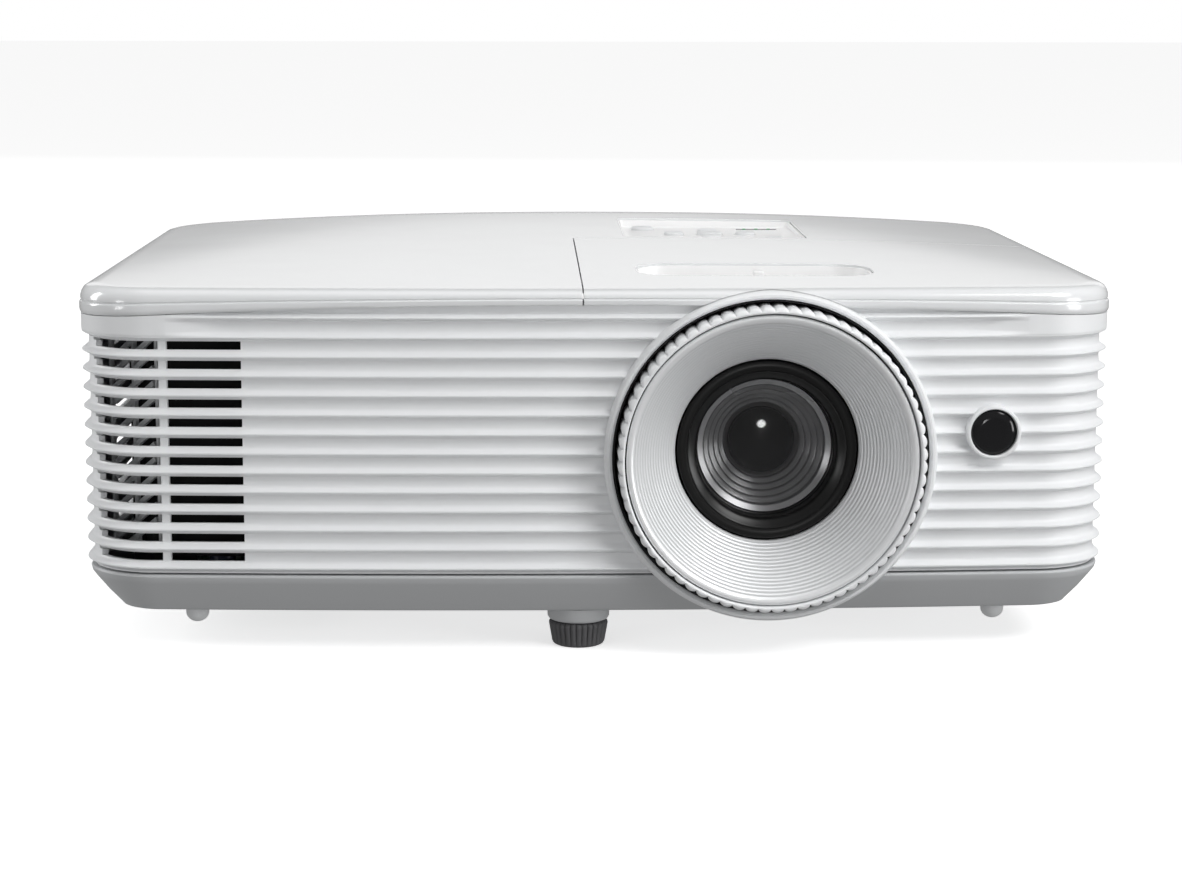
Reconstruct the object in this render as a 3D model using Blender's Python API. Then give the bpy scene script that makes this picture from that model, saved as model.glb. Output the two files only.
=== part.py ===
"""Home projector: a ribbed plastic case on three screw feet, with its lens, controls and inner parts.

The projector stands on Z = 0 with its lens facing -Y. Helpers take millimetres and write metres.
"""

import math

import bmesh
import bpy
from mathutils import Vector

MM = 0.001
GAP = 0.3

# The case in plan, and the heights that its pieces meet at.
HALF_WIDTH = 158.0
FRONT_Y = -114.0
REAR_Y = 121.6
FRONT_BOW = 2.2e-4
FRONT_CORNER = 24.0
REAR_CORNER = 20.0
CASE_BOTTOM = 12.5
SKIRT_TOP = 25.6
SKIRT_TAPER = 10.0
PART_LINE = 108.1
PART_LINE_FALL = 4.3
WALL = 2.2

# The ribs round the case.
RIBS = 13
RIB_PITCH = 5.87
TOP_RIB_Z = 98.6
FLUTE_DEPTH = 2.2
FLUTE_BELOW_RIB = 2.4
VENT_HEIGHT = 2.75
SIDE_SEAM_Y = -70.0
REAR_SEAM_Y = 98.0

# The top of the case.
TOP_FRONT_Z = 112.6
TOP_SIDE_Z = 112.8
COVER_SEAM_X = -4.8
COVER_SEAM_Y = 22.0
ZOOM_SLOT = (13.0, 88.0, -80.0, -50.0)
KEYPAD = (13.0, 78.0, 27.0, 91.0)
KEYPAD_Z = 114.2

# The lens.
LENS_X = 51.8
LENS_Z = 62.0
WELL_R = 47.9
WELL_WALL = 2.3
FOCUS_R = 46.4
FOCUS_TEETH = 72
DISH_R = 43.9
BARREL_R = 27.6
GLASS_R = 21.1

# Feet, buttons and the receiver window.
FRONT_FOOT = (-5.7, -93.0)
REAR_FEET = (("left", -120.0), ("right", 120.0))
REAR_FOOT_Y = 92.0
STUD_R = 3.0
PAD_R = 9.25
BUMP_X = 124.0
IR_X = 119.5
IR_Z = 69.1
BUTTONS = (
    ("power", 22.0, 80.0, 4.2),
    ("menu", 24.0, 38.0, 3.4),
    ("source", 67.0, 38.0, 3.4),
    ("enter", 45.5, 59.0, 4.6),
    ("up", 45.5, 71.0, 3.6),
    ("down", 45.5, 47.0, 3.6),
    ("left", 32.5, 59.0, 3.6),
    ("right", 58.5, 59.0, 3.6),
)

for stale in list(bpy.data.objects):
    bpy.data.objects.remove(stale)

MATERIALS = {}


def material(name, color, roughness, metallic=0.0):
    """A plain Principled material, made once for each name."""
    if name not in MATERIALS:
        made = bpy.data.materials.new(name)
        made.use_nodes = True
        shader = made.node_tree.nodes["Principled BSDF"]
        shader.inputs["Base Color"].default_value = (*color, 1.0)
        shader.inputs["Roughness"].default_value = roughness
        shader.inputs["Metallic"].default_value = metallic
        MATERIALS[name] = made
    return MATERIALS[name]


WHITE = material("white_plastic", (0.86, 0.87, 0.88), 0.4)
GLOSS = material("gloss_white_plastic", (0.88, 0.89, 0.9), 0.18)
GREY = material("grey_plastic", (0.55, 0.56, 0.57), 0.5)
RUBBER = material("dark_rubber", (0.05, 0.05, 0.055), 0.75)
BLACK = material("black_plastic", (0.02, 0.02, 0.022), 0.4)
SATIN = material("satin_aluminium", (0.78, 0.79, 0.8), 0.3, 1.0)
STEEL = material("bright_steel", (0.62, 0.62, 0.64), 0.35, 1.0)
GLASS = material("coated_glass", (0.05, 0.06, 0.07), 0.05)
BOARD = material("circuit_board", (0.03, 0.2, 0.09), 0.5)
MAGNESIUM = material("cast_magnesium", (0.35, 0.36, 0.37), 0.55, 1.0)


def make(name, points, faces, surface, origin=(0.0, 0.0, 0.0)):
    """An object from points in millimetres, with its faces turned outwards and its origin put where asked."""
    mesh = bpy.data.meshes.new(name)
    mesh.from_pydata([(Vector(p) - Vector(origin)) * MM for p in points], [], faces)
    shape = bmesh.new()
    shape.from_mesh(mesh)
    bmesh.ops.recalc_face_normals(shape, faces=shape.faces)
    shape.to_mesh(mesh)
    shape.free()
    mesh.materials.append(surface)
    made = bpy.data.objects.new(name, mesh)
    made.location = Vector(origin) * MM
    bpy.context.scene.collection.objects.link(made)
    return made


def loft(name, rings, surface, closed=False, origin=(0.0, 0.0, 0.0)):
    """Skins a row of equal rings of points. A closed row joins up end to end; an open one is capped."""
    count = len(rings[0])
    points = [p for ring in rings for p in ring]
    faces = []
    for i in range(len(rings) if closed else len(rings) - 1):
        low = i * count
        high = (i + 1) % len(rings) * count
        for j in range(count):
            k = (j + 1) % count
            faces.append((low + j, low + k, high + k, high + j))
    if not closed:
        faces.append(tuple(range(count)))
        faces.append(tuple(range((len(rings) - 1) * count, len(rings) * count)))
    return make(name, points, faces, surface, origin)


def turned(name, profile, centre, axis, surface, segments=40, teeth=0.0):
    """Turns a closed profile of (radius, distance along the axis) about an axis through centre.

    A profile that starts and ends at radius 0 is a solid; any other is a ring. Teeth take every
    second point of the outermost radius in by that much.
    """
    solid = profile[0][0] == 0.0
    run = profile[1:-1] if solid else profile
    outermost = max(r for r, _ in run)
    rings = []
    for r, along in run:
        ring = []
        for i in range(segments):
            angle = 2 * math.pi * i / segments
            reach = r - teeth if r == outermost and i % 2 else r
            a = reach * math.cos(angle)
            b = reach * math.sin(angle)
            x, y, z = {"X": (along, a, b), "Y": (a, along, b), "Z": (a, b, along)}[axis]
            ring.append((centre[0] + x, centre[1] + y, centre[2] + z))
        rings.append(ring)
    return loft(name, rings, surface, closed=not solid, origin=centre)


def box(name, low, high, surface, bevel=0.0):
    rings = []
    for z in (low[2], high[2]):
        rings.append([(low[0], low[1], z), (high[0], low[1], z), (high[0], high[1], z), (low[0], high[1], z)])
    made = loft(name, rings, surface)
    if bevel:
        rounding = made.modifiers.new("edges", "BEVEL")
        rounding.width = bevel * MM
        rounding.segments = 1
        rounding.use_clamp_overlap = False
    return made


def tray(name, low, high, wall, surface, mouth="Z"):
    """A box open on one side: +Z, or +Y for a socket."""
    rings = []
    inner_low = [v + wall for v in low]
    inner_high = [v - wall for v in high]
    outside = ((low, high, 0), (low, high, 1))
    inside = ((inner_low, inner_high, 1), (inner_low, inner_high, 0))
    for lo, hi, far in outside + inside:
        if mouth == "Z":
            z = high[2] if far else lo[2]
            rings.append([(lo[0], lo[1], z), (hi[0], lo[1], z), (hi[0], hi[1], z), (lo[0], hi[1], z)])
        else:
            y = high[1] if far else lo[1]
            rings.append([(lo[0], y, lo[2]), (hi[0], y, lo[2]), (hi[0], y, hi[2]), (lo[0], y, hi[2])])
    return loft(name, rings, surface)


def extruded(name, profile, axis, start, end, surface):
    """A closed profile drawn square to the axis and pushed along it."""
    rings = []
    for along in (start, end):
        if axis == "X":
            rings.append([(along, a, b) for a, b in profile])
        elif axis == "Y":
            rings.append([(a, along, b) for a, b in profile])
        else:
            rings.append([(a, b, along) for a, b in profile])
    return loft(name, rings, surface)


def blocks(name, xs, ys, heights, bottom, surface):
    """A board with blocks on it: one height for each cell between the lines xs and ys."""
    shape = bmesh.new()
    corners = {}

    def corner(i, j, z):
        if (i, j, z) not in corners:
            corners[(i, j, z)] = shape.verts.new((xs[i] * MM, ys[j] * MM, z * MM))
        return corners[(i, j, z)]

    def height(i, j):
        inside = 0 <= i < len(xs) - 1 and 0 <= j < len(ys) - 1
        return heights[j][i] if inside else bottom

    def wall(a, b, low, high):
        levels = sorted({low, high} | {z for (i, j), z in top_at if (i, j) in (a, b) and low < z < high})
        for z0, z1 in zip(levels, levels[1:]):
            shape.faces.new((corner(*a, z0), corner(*b, z0), corner(*b, z1), corner(*a, z1)))

    top_at = set()
    for j in range(len(ys) - 1):
        for i in range(len(xs) - 1):
            for a, b in ((i, j), (i + 1, j), (i + 1, j + 1), (i, j + 1)):
                top_at.add(((a, b), heights[j][i]))
    for j in range(len(ys) - 1):
        for i in range(len(xs) - 1):
            square = ((i, j), (i + 1, j), (i + 1, j + 1), (i, j + 1))
            shape.faces.new([corner(a, b, heights[j][i]) for a, b in square])
            shape.faces.new([corner(a, b, bottom) for a, b in reversed(square)])
            for k, (di, dj) in enumerate(((0, -1), (1, 0), (0, 1), (-1, 0))):
                beside = height(i + di, j + dj)
                if beside < heights[j][i]:
                    wall(square[k], square[(k + 1) % 4], beside, heights[j][i])
    bmesh.ops.recalc_face_normals(shape, faces=shape.faces)
    mesh = bpy.data.meshes.new(name)
    shape.to_mesh(mesh)
    shape.free()
    mesh.materials.append(surface)
    made = bpy.data.objects.new(name, mesh)
    bpy.context.scene.collection.objects.link(made)
    return made


def combine(target, other, how="DIFFERENCE"):
    """Cuts, keeps or adds the other shape, which stays out of the finished part."""
    other.hide_render = True
    other.display_type = "WIRE"
    change = target.modifiers.new(f"{how.lower()}_{other.name}"[:60], "BOOLEAN")
    change.operation = how
    change.solver = "EXACT"
    change.object = other


def several(name, parts):
    """One helper object that holds several boxes, each given as (low, high)."""
    points = []
    faces = []
    for low, high in parts:
        start = len(points)
        for z in (low[2], high[2]):
            points += [(low[0], low[1], z), (high[0], low[1], z), (high[0], high[1], z), (low[0], high[1], z)]
        for face in ((0, 1, 2, 3), (4, 5, 6, 7), (0, 1, 5, 4), (1, 2, 6, 5), (2, 3, 7, 6), (3, 0, 4, 7)):
            faces.append([start + k for k in face])
    return make(name, points, faces, WHITE)


# ---- The case in plan ----------------------------------------------------------------------


def half_plan():
    """The right half of the case's plan, from the middle of the front to the middle of the rear."""
    straight = HALF_WIDTH - FRONT_CORNER
    points = [(x, FRONT_Y + FRONT_BOW * x * x) for x in (0.0, 26.0, 52.0, 78.0, 104.0, 120.0, straight)]
    corner_y = FRONT_Y + FRONT_BOW * straight**2 + FRONT_CORNER
    for step in range(1, 6):
        angle = math.radians(18 * step)
        points.append((straight + FRONT_CORNER * math.sin(angle), corner_y - FRONT_CORNER * math.cos(angle)))
    points += [(HALF_WIDTH, SIDE_SEAM_Y), (HALF_WIDTH, -14.0), (HALF_WIDTH, 42.0), (HALF_WIDTH, REAR_SEAM_Y)]
    inner = HALF_WIDTH - REAR_CORNER
    for step in range(1, 5):
        angle = math.radians(22.5 * step)
        across = inner + REAR_CORNER * math.cos(angle)
        points.append((across, REAR_Y - REAR_CORNER + REAR_CORNER * math.sin(angle)))
    return points + [(92.0, REAR_Y), (46.0, REAR_Y), (0.0, REAR_Y)]


HALF = half_plan()
PLAN = HALF + [(-x, y) for x, y in HALF[-2:0:-1]]
SIDE_SEAM = next(i for i, p in enumerate(PLAN) if p[1] == SIDE_SEAM_Y)
REAR_SEAM = next(i for i, p in enumerate(PLAN) if p[1] == REAR_SEAM_Y)


def moved_out(i, distance):
    """Corner i of the plan, moved out along the mitre of its two sides."""
    before = Vector(PLAN[(i - 1) % len(PLAN)])
    here = Vector(PLAN[i % len(PLAN)])
    after = Vector(PLAN[(i + 1) % len(PLAN)])
    first = (here - before).normalized()
    second = (after - here).normalized()
    out = Vector((first.y + second.y, -first.x - second.x)).normalized()
    reach = distance / max(0.5, out.dot(Vector((first.y, -first.x))))
    return here + out * reach


def part_line(x):
    return PART_LINE - PART_LINE_FALL * (x / HALF_WIDTH) ** 2


def top_z(x, y):
    """The crowned top of the case, highest at the middle of its rear edge."""
    back = (y - FRONT_Y) / (REAR_Y - FRONT_Y)
    ridge = TOP_FRONT_Z + 7.4 * back - 1.9 * back * back
    return ridge - (ridge - TOP_SIDE_Z) * min(1.0, abs(x) / HALF_WIDTH) ** 2.2


def plan_ring(distance, height):
    """The plan moved out by a distance, at a height that may depend on where each point is."""
    ring = []
    for i in range(len(PLAN)):
        x, y = moved_out(i, distance)
        ring.append((x, y, height(x, y) if callable(height) else height))
    return ring


def wall(name, first, last, ribbed, surface, trim_first=0.0, trim_last=0.0):
    """A case wall from one plan corner to another, ribbed or flat, up to the part line."""
    rings = []
    for i in range(first, last + 1):
        rise = []
        if ribbed:
            for k in reversed(range(RIBS)):
                rib = TOP_RIB_Z - RIB_PITCH * k
                rise += [(-FLUTE_DEPTH, rib - FLUTE_BELOW_RIB), (0.0, rib)]
            rise[0] = (-FLUTE_DEPTH, SKIRT_TOP + GAP)
        else:
            rise.append((-FLUTE_DEPTH, SKIRT_TOP + GAP))
        x, _ = moved_out(i, 0.0)
        rise.append((-FLUTE_DEPTH, TOP_RIB_Z + 3.0))
        rise.append((-FLUTE_DEPTH, part_line(x) - GAP))
        rise.append((-FLUTE_DEPTH - WALL, part_line(x) - GAP))
        rise.append((-FLUTE_DEPTH - WALL, SKIRT_TOP + GAP))
        ring = []
        for out, z in rise:
            px, py = moved_out(i, out)
            if i == first:
                py += trim_first
            if i == last:
                py += trim_last
            ring.append((px, py, z))
        rings.append(ring)
    return loft(name, rings, surface)


# ---- The shell -----------------------------------------------------------------------------

# A cylinder round the lens, which the case, its skirt and its covers all make room for.
LENS_ROOM_R = WELL_R + WELL_WALL + GAP
lens_room = turned(
    "lens_room",
    [(0.0, -130.0), (LENS_ROOM_R, -130.0), (LENS_ROOM_R, -95.0), (0.0, -95.0)],
    (LENS_X, 0.0, LENS_Z),
    "Y",
    WHITE,
    48,
)

# The bottom case is a tray whose skirt leans in towards the floor.
bottom_case = loft(
    "bottom_case",
    [
        plan_ring(-SKIRT_TAPER, CASE_BOTTOM),
        plan_ring(-1.6, SKIRT_TOP - 3.0),
        plan_ring(-FLUTE_DEPTH + 1.4, SKIRT_TOP),
        plan_ring(-FLUTE_DEPTH - WALL, SKIRT_TOP),
        plan_ring(-1.6 - WALL, SKIRT_TOP - 3.4),
        plan_ring(-SKIRT_TAPER - WALL, CASE_BOTTOM + WALL),
    ],
    GREY,
)
combine(bottom_case, lens_room)
FEET = [FRONT_FOOT] + [(x, REAR_FOOT_Y) for _, x in REAR_FEET]
for number, (foot_x, foot_y) in enumerate(FEET):
    hole = turned(
        f"foot_hole_{number}",
        [(0.0, 5.0), (STUD_R + 0.4, 5.0), (STUD_R + 0.4, 20.0), (0.0, 20.0)],
        (foot_x, foot_y, 0.0),
        "Z",
        GREY,
        24,
    )
    combine(bottom_case, hole)

# The front wall wraps both front corners. Its lens well ties its two halves together.
COUNT = len(PLAN)
FRONT_FROM = COUNT - SIDE_SEAM
FRONT_TO = COUNT + SIDE_SEAM
front_grille = wall("front_grille", FRONT_FROM, FRONT_TO, True, WHITE, -GAP, -GAP)
lens_hole = turned(
    "lens_hole",
    [(0.0, -130.0), (WELL_R + 0.6, -130.0), (WELL_R + 0.6, -90.0), (0.0, -90.0)],
    (LENS_X, 0.0, LENS_Z),
    "Y",
    WHITE,
    48,
)
lens_well = turned(
    "lens_well",
    [(WELL_R, -113.7), (WELL_R + WELL_WALL, -113.7), (WELL_R + WELL_WALL, -96.0), (WELL_R, -96.0)],
    (LENS_X, 0.0, LENS_Z),
    "Y",
    WHITE,
    48,
)
combine(front_grille, lens_hole)
combine(front_grille, lens_well, "UNION")
ir_hole = turned(
    "ir_hole",
    [(0.0, -120.0), (8.5, -120.0), (8.5, -95.0), (0.0, -95.0)],
    (IR_X, 0.0, IR_Z),
    "Y",
    WHITE,
    24,
)
combine(front_grille, ir_hole)
slots = []
for k in range(RIBS - 1):
    middle = TOP_RIB_Z - RIB_PITCH * (k + 0.5)
    low = middle - VENT_HEIGHT / 2
    high = middle + VENT_HEIGHT / 2
    slots.append(((-129.8, -120.0, low), (-107.3, -95.0, high)))
    slots.append(((-153.0, -120.0, low), (-132.2, -80.0, high)))
combine(front_grille, several("front_vents", slots))

# The side walls carry the ribs on to the rear panel, with rows of vents between the ribs.
right_side_panel = wall("right_side_panel", SIDE_SEAM, REAR_SEAM, True, WHITE, GAP, -GAP)
left_side_panel = wall("left_side_panel", COUNT - REAR_SEAM, COUNT - SIDE_SEAM, True, WHITE, -GAP, GAP)
for panel, side, front, back in ((left_side_panel, -1, -52.0, 22.0), (right_side_panel, 1, 10.0, 78.0)):
    slots = []
    for k in range(1, RIBS - 1, 2):
        middle = TOP_RIB_Z - RIB_PITCH * (k + 0.5)
        ends = sorted((side * 150.0, side * 162.0))
        slots.append(((ends[0], front, middle - 1.3), (ends[1], back, middle + 1.3)))
    combine(panel, several(f"{panel.name}_vents", slots))

rear_panel = wall("rear_panel", REAR_SEAM, COUNT - REAR_SEAM, False, WHITE, GAP, GAP)

# The top is one crowned shell, parted into a fixed cover and a lid over the lamp and the zoom lever.


def top_shell(name):
    def lower(x, y):
        return top_z(x, y) - WALL

    def scaled(factor, height):
        ring = []
        for i in range(COUNT):
            x, y = moved_out(i, -6.0)
            y = (y - 4.0) * factor + 4.0
            ring.append((x * factor, y, height(x * factor, y)))
        return ring

    rings = [
        plan_ring(-FLUTE_DEPTH - WALL, lambda x, y: part_line(x)),
        plan_ring(0.4, lambda x, y: part_line(x)),
        plan_ring(0.4, lambda x, y: top_z(x, y) - 2.6),
        plan_ring(-2.6, lambda x, y: top_z(x, y) - 0.5),
        plan_ring(-6.0, top_z),
        scaled(0.82, top_z),
        scaled(0.55, top_z),
        scaled(0.22, top_z),
        scaled(0.22, lower),
        scaled(0.55, lower),
        scaled(0.82, lower),
        plan_ring(-FLUTE_DEPTH - WALL - 2.0, lower),
    ]
    points = [p for ring in rings for p in ring]
    faces = []
    for i in range(len(rings)):
        if i == 7:
            continue
        low = i * COUNT
        high = (i + 1) % len(rings) * COUNT
        for j in range(COUNT):
            k = (j + 1) % COUNT
            faces.append((low + j, low + k, high + k, high + j))
    for ring, height in ((7, top_z), (8, lower)):
        points.append((0.0, 4.0, height(0.0, 4.0)))
        for j in range(COUNT):
            faces.append((ring * COUNT + j, ring * COUNT + (j + 1) % COUNT, len(points) - 1))
    return make(name, points, faces, GLOSS)


top_cover = top_shell("top_cover")
lamp_cover = top_shell("lamp_cover")
lid_kept = box("lid_kept", (COVER_SEAM_X + 0.2, -130, 95), (170, COVER_SEAM_Y - 0.2, 130), WHITE)
lid_room = box("lid_room", (COVER_SEAM_X - 0.2, -130, 95), (170, COVER_SEAM_Y + 0.2, 130), WHITE)
combine(lamp_cover, lid_kept, "INTERSECT")
combine(top_cover, lid_room)
cover_notch = turned(
    "cover_notch",
    [(0.0, -130.0), (LENS_ROOM_R, -130.0), (LENS_ROOM_R, -95.5), (0.0, -95.5)],
    (LENS_X, 0.0, LENS_Z),
    "Y",
    WHITE,
    48,
)
combine(lamp_cover, cover_notch)
left, right, near, far = ZOOM_SLOT
combine(lamp_cover, box("zoom_slot_cut", (left, near, 100), (right, far, 125), WHITE))
left, right, near, far = KEYPAD
combine(top_cover, box("keypad_cut", (left, near, 100), (right, far, 125), WHITE))

# The zoom pocket hangs under the slot and has a slit for the lever.
left, right, near, far = ZOOM_SLOT


def rectangle(grow, z):
    return [
        (left - grow, near - grow, z),
        (right + grow, near - grow, z),
        (right + grow, far + grow, z),
        (left - grow, far + grow, z),
    ]


zoom_pocket = loft(
    "zoom_pocket",
    [
        rectangle(-GAP, 104.0),
        rectangle(-GAP, 109.3),
        rectangle(3.0, 109.3),
        rectangle(3.0, 110.8),
        rectangle(-1.8, 110.8),
        rectangle(-1.8, 105.4),
    ],
    WHITE,
)
combine(zoom_pocket, box("lever_slit", (24.0, -69.0, 100.0), (80.0, -61.0, 108.0), WHITE))

# A slanted lattice stands behind the corner vents.
lattice_run = Vector((22.0, -19.0)).normalized()
lattice_face = Vector((-lattice_run.y, lattice_run.x))
lattice_start = Vector((-150.8, -82.5))


def lattice_point(along, through, z):
    at = lattice_start + lattice_run * along + lattice_face * through
    return (at.x, at.y, z)


vent_lattice = loft(
    "vent_lattice",
    [[lattice_point(a, t, z) for a, t in ((0, 0), (22, 0), (22, 1.6), (0, 1.6))] for z in (30.0, 98.0)],
    GREY,
)
for number in range(7):
    foot_z = 32.5 + number * 9.2
    corners = ((3.0, foot_z), (19.0, foot_z + 5.0), (19.0, foot_z + 8.6), (3.0, foot_z + 3.6))
    faces_of_hole = [[lattice_point(a, t, z) for a, z in corners] for t in (-2, 4)]
    hole = loft(f"lattice_hole_{number}", faces_of_hole, GREY)
    combine(vent_lattice, hole)

# ---- The lens ------------------------------------------------------------------------------

LENS = (LENS_X, 0.0, LENS_Z)


turned(
    "lens_surround",
    [(WELL_R + 0.4, -115.0), (49.2, -115.8), (50.2, -115.0), (50.2, -114.0), (WELL_R + 0.4, -114.0)],
    LENS,
    "Y",
    WHITE,
    48,
)
turned(
    "focus_ring",
    [(44.9, -122.0), (FOCUS_R, -120.4), (FOCUS_R, -105.0), (DISH_R + 0.4, -105.0), (DISH_R + 0.4, -122.0)],
    LENS,
    "Y",
    WHITE,
    2 * FOCUS_TEETH,
    0.8,
)
turned(
    "focus_dish",
    [
        (DISH_R, -121.2),
        (DISH_R, -119.2),
        (42.6, -117.4),
        (29.6, -99.0),
        (28.2, -99.0),
        (28.2, -101.0),
        (42.2, -121.2),
    ],
    LENS,
    "Y",
    SATIN,
    60,
)
turned(
    "front_barrel",
    [(22.6, -98.0), (24.4, -100.6), (BARREL_R, -101.0), (BARREL_R, -76.0), (21.5, -76.0), (21.5, -96.0)],
    LENS,
    "Y",
    BLACK,
    48,
)
turned(
    "front_element",
    [(0.0, -95.4), (10.5, -94.4), (GLASS_R, -91.4), (GLASS_R, -86.0), (12.0, -84.6), (0.0, -84.0)],
    LENS,
    "Y",
    GLASS,
    40,
)
turned(
    "lens_barrel",
    [(28.0, -96.0), (32.5, -96.0), (32.5, -24.0), (38.0, -24.0), (38.0, -20.0), (28.0, -20.0)],
    LENS,
    "Y",
    BLACK,
    40,
)
turned(
    "zoom_barrel",
    [(20.0, -66.0), (BARREL_R, -66.0), (BARREL_R, -34.0), (20.0, -34.0)],
    LENS,
    "Y",
    BLACK,
    32,
)
turned(
    "zoom_element",
    [(0.0, -60.0), (10.0, -59.0), (19.7, -56.0), (19.7, -51.0), (10.0, -49.4), (0.0, -49.0)],
    LENS,
    "Y",
    GLASS,
    32,
)
zoom_ring = turned(
    "zoom_ring",
    [(32.9, -72.0), (37.5, -72.0), (37.5, -58.0), (32.9, -58.0)],
    LENS,
    "Y",
    BLACK,
    40,
)
lever_low = (LENS_X - 2.2, -67.4, LENS_Z + 35.5)
lever_high = (LENS_X + 2.2, -62.6, 114.8)
combine(zoom_ring, box("zoom_lever", lever_low, lever_high, WHITE), "UNION")

# ---- Receiver window -----------------------------------------------------------------------

IR = (IR_X, 0.0, IR_Z)
turned(
    "ir_bezel",
    [(7.1, -111.9), (8.1, -111.9), (8.1, -105.0), (7.1, -105.0)],
    IR,
    "Y",
    WHITE,
    24,
)
turned("ir_window", [(0.0, -111.4), (6.8, -111.2), (6.8, -106.0), (0.0, -106.0)], IR, "Y", BLACK, 24)

# ---- Keypad --------------------------------------------------------------------------------

left, right, near, far = KEYPAD
keypad_panel = loft(
    "keypad_panel",
    [
        rectangle(2.6, 111.0),
        rectangle(2.6, 112.2),
        rectangle(-0.4, 112.2),
        rectangle(-0.4, KEYPAD_Z),
    ],
    WHITE,
)
for label, x, y, r in BUTTONS:
    room = turned(
        f"{label}_room",
        [(0.0, 105.0), (r + GAP, 105.0), (r + GAP, 120.0), (0.0, 120.0)],
        (x, y, 0.0),
        "Z",
        WHITE,
        20,
    )
    combine(keypad_panel, room)
    turned(
        f"button_{label}",
        [
            (0.0, 108.0),
            (r + 1.0, 108.0),
            (r + 1.0, 109.6),
            (r, 109.6),
            (r, 114.9),
            (r - 0.5, 115.4),
            (0.0, 115.5),
        ],
        (x, y, 0.0),
        "Z",
        GREY,
        16,
    )
lights = box("status_lights", (57.0, 79.0, 109.0), (72.0, 82.0, KEYPAD_Z + 0.2), BLACK)
combine(keypad_panel, box("lights_room", (56.7, 78.7, 105.0), (72.3, 82.3, 120.0), WHITE))
box("keypad_board", (14.0, 28.0, 104.4), (77.0, 90.0, 106.0), BOARD)

# ---- Feet ----------------------------------------------------------------------------------


def foot(name, x, y):
    turned(
        f"{name}_stud",
        [(0.0, 8.0), (2.4, 8.0), (STUD_R, 8.6), (STUD_R, 33.4), (2.4, 34.0), (0.0, 34.0)],
        (x, y, 0.0),
        "Z",
        STEEL,
        24,
    )
    turned(
        f"{name}_pad",
        [(0.0, 0.0), (7.6, 0.0), (8.4, 0.8), (PAD_R, 6.9), (8.5, 7.7), (0.0, 7.7)],
        (x, y, 0.0),
        "Z",
        RUBBER,
        36,
    )


foot("front_foot", *FRONT_FOOT)
turned(
    "front_foot_collar",
    [(3.6, 8.0), (9.0, 8.0), (9.6, 8.8), (9.6, 12.2), (3.6, 12.2)],
    (*FRONT_FOOT, 0.0),
    "Z",
    GREY,
    32,
)
for side, foot_x in REAR_FEET:
    foot(f"rear_foot_{side}", foot_x, REAR_FOOT_Y)
for side, sign in (("left", -1), ("right", 1)):
    turned(
        f"bump_{side}",
        [(0.0, 7.2), (1.8, 7.6), (3.1, 8.7), (3.55, 10.2), (3.55, 12.2), (0.0, 12.2)],
        (sign * BUMP_X, -92.0, 0.0),
        "Z",
        GREY,
        16,
    )

# ---- Light engine and lamp -----------------------------------------------------------------

extruded(
    "engine_housing",
    [(10, -19), (94, -19), (94, 30), (74, 46), (10, 46), (10, 8), (18, 0)],
    "Z",
    24.0,
    92.0,
    MAGNESIUM,
)
box("dmd_board", (14.0, 47.0, 26.0), (88.0, 48.6, 92.0), BOARD)
fins = [(20.0, 49.2), (80.0, 49.2)]
for number in range(9):
    edge = 80.0 - number * 7.0
    fins += [(edge, 62.0), (edge - 2.4, 62.0)]
    if number < 8:
        fins += [(edge - 2.4, 52.6), (edge - 7.0, 52.6)]
fins[-1] = (20.0, 62.0)
extruded("dmd_heatsink", fins, "Z", 34.0, 84.0, SATIN)
COLOUR_WHEEL = (0.0, 6.0, 52.0)
turned("colour_wheel", [(0.0, 96.0), (22.0, 96.0), (22.0, 97.2), (0.0, 97.2)], COLOUR_WHEEL, "X", GLASS, 36)
turned(
    "colour_wheel_motor",
    [(0.0, 97.6), (8.0, 97.6), (8.0, 101.0), (6.0, 102.6), (0.0, 102.6)],
    COLOUR_WHEEL,
    "X",
    STEEL,
    24,
)
lamp_housing = tray("lamp_housing", (104.0, -62.0, 20.0), (148.5, 16.0, 98.0), 2.0, BLACK)
combine(lamp_housing, box("lamp_aperture", (100.0, -36.0, 44.0), (108.0, -8.0, 76.0), BLACK))
turned(
    "lamp_reflector",
    [
        (6.0, 145.0),
        (22.0, 136.0),
        (29.0, 114.0),
        (29.0, 110.0),
        (26.6, 110.0),
        (26.6, 113.4),
        (19.8, 133.6),
        (6.0, 142.4),
    ],
    (0.0, -22.0, 60.0),
    "X",
    SATIN,
    36,
)

# ---- Cooling, boards and sound -------------------------------------------------------------

FAN = (0.0, -22.0, 58.0)
fan_frame = box("exhaust_fan_frame", (-147.5, -62.0, 18.5), (-127.5, 18.0, 97.5), BLACK)
combine(
    fan_frame,
    turned("fan_bore", [(0.0, -155.0), (38.0, -155.0), (38.0, -125.0), (0.0, -125.0)], FAN, "X", BLACK, 40),
)


def blade_ring(along, twist):
    ring = []
    for blade in range(7):
        start = 2 * math.pi * blade / 7 + twist
        for r, angle in ((14.0, 0.0), (36.4, 0.12), (36.4, 0.34), (14.0, 0.5)):
            ring.append((along, FAN[1] + r * math.cos(start + angle), FAN[2] + r * math.sin(start + angle)))
    return ring


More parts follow.
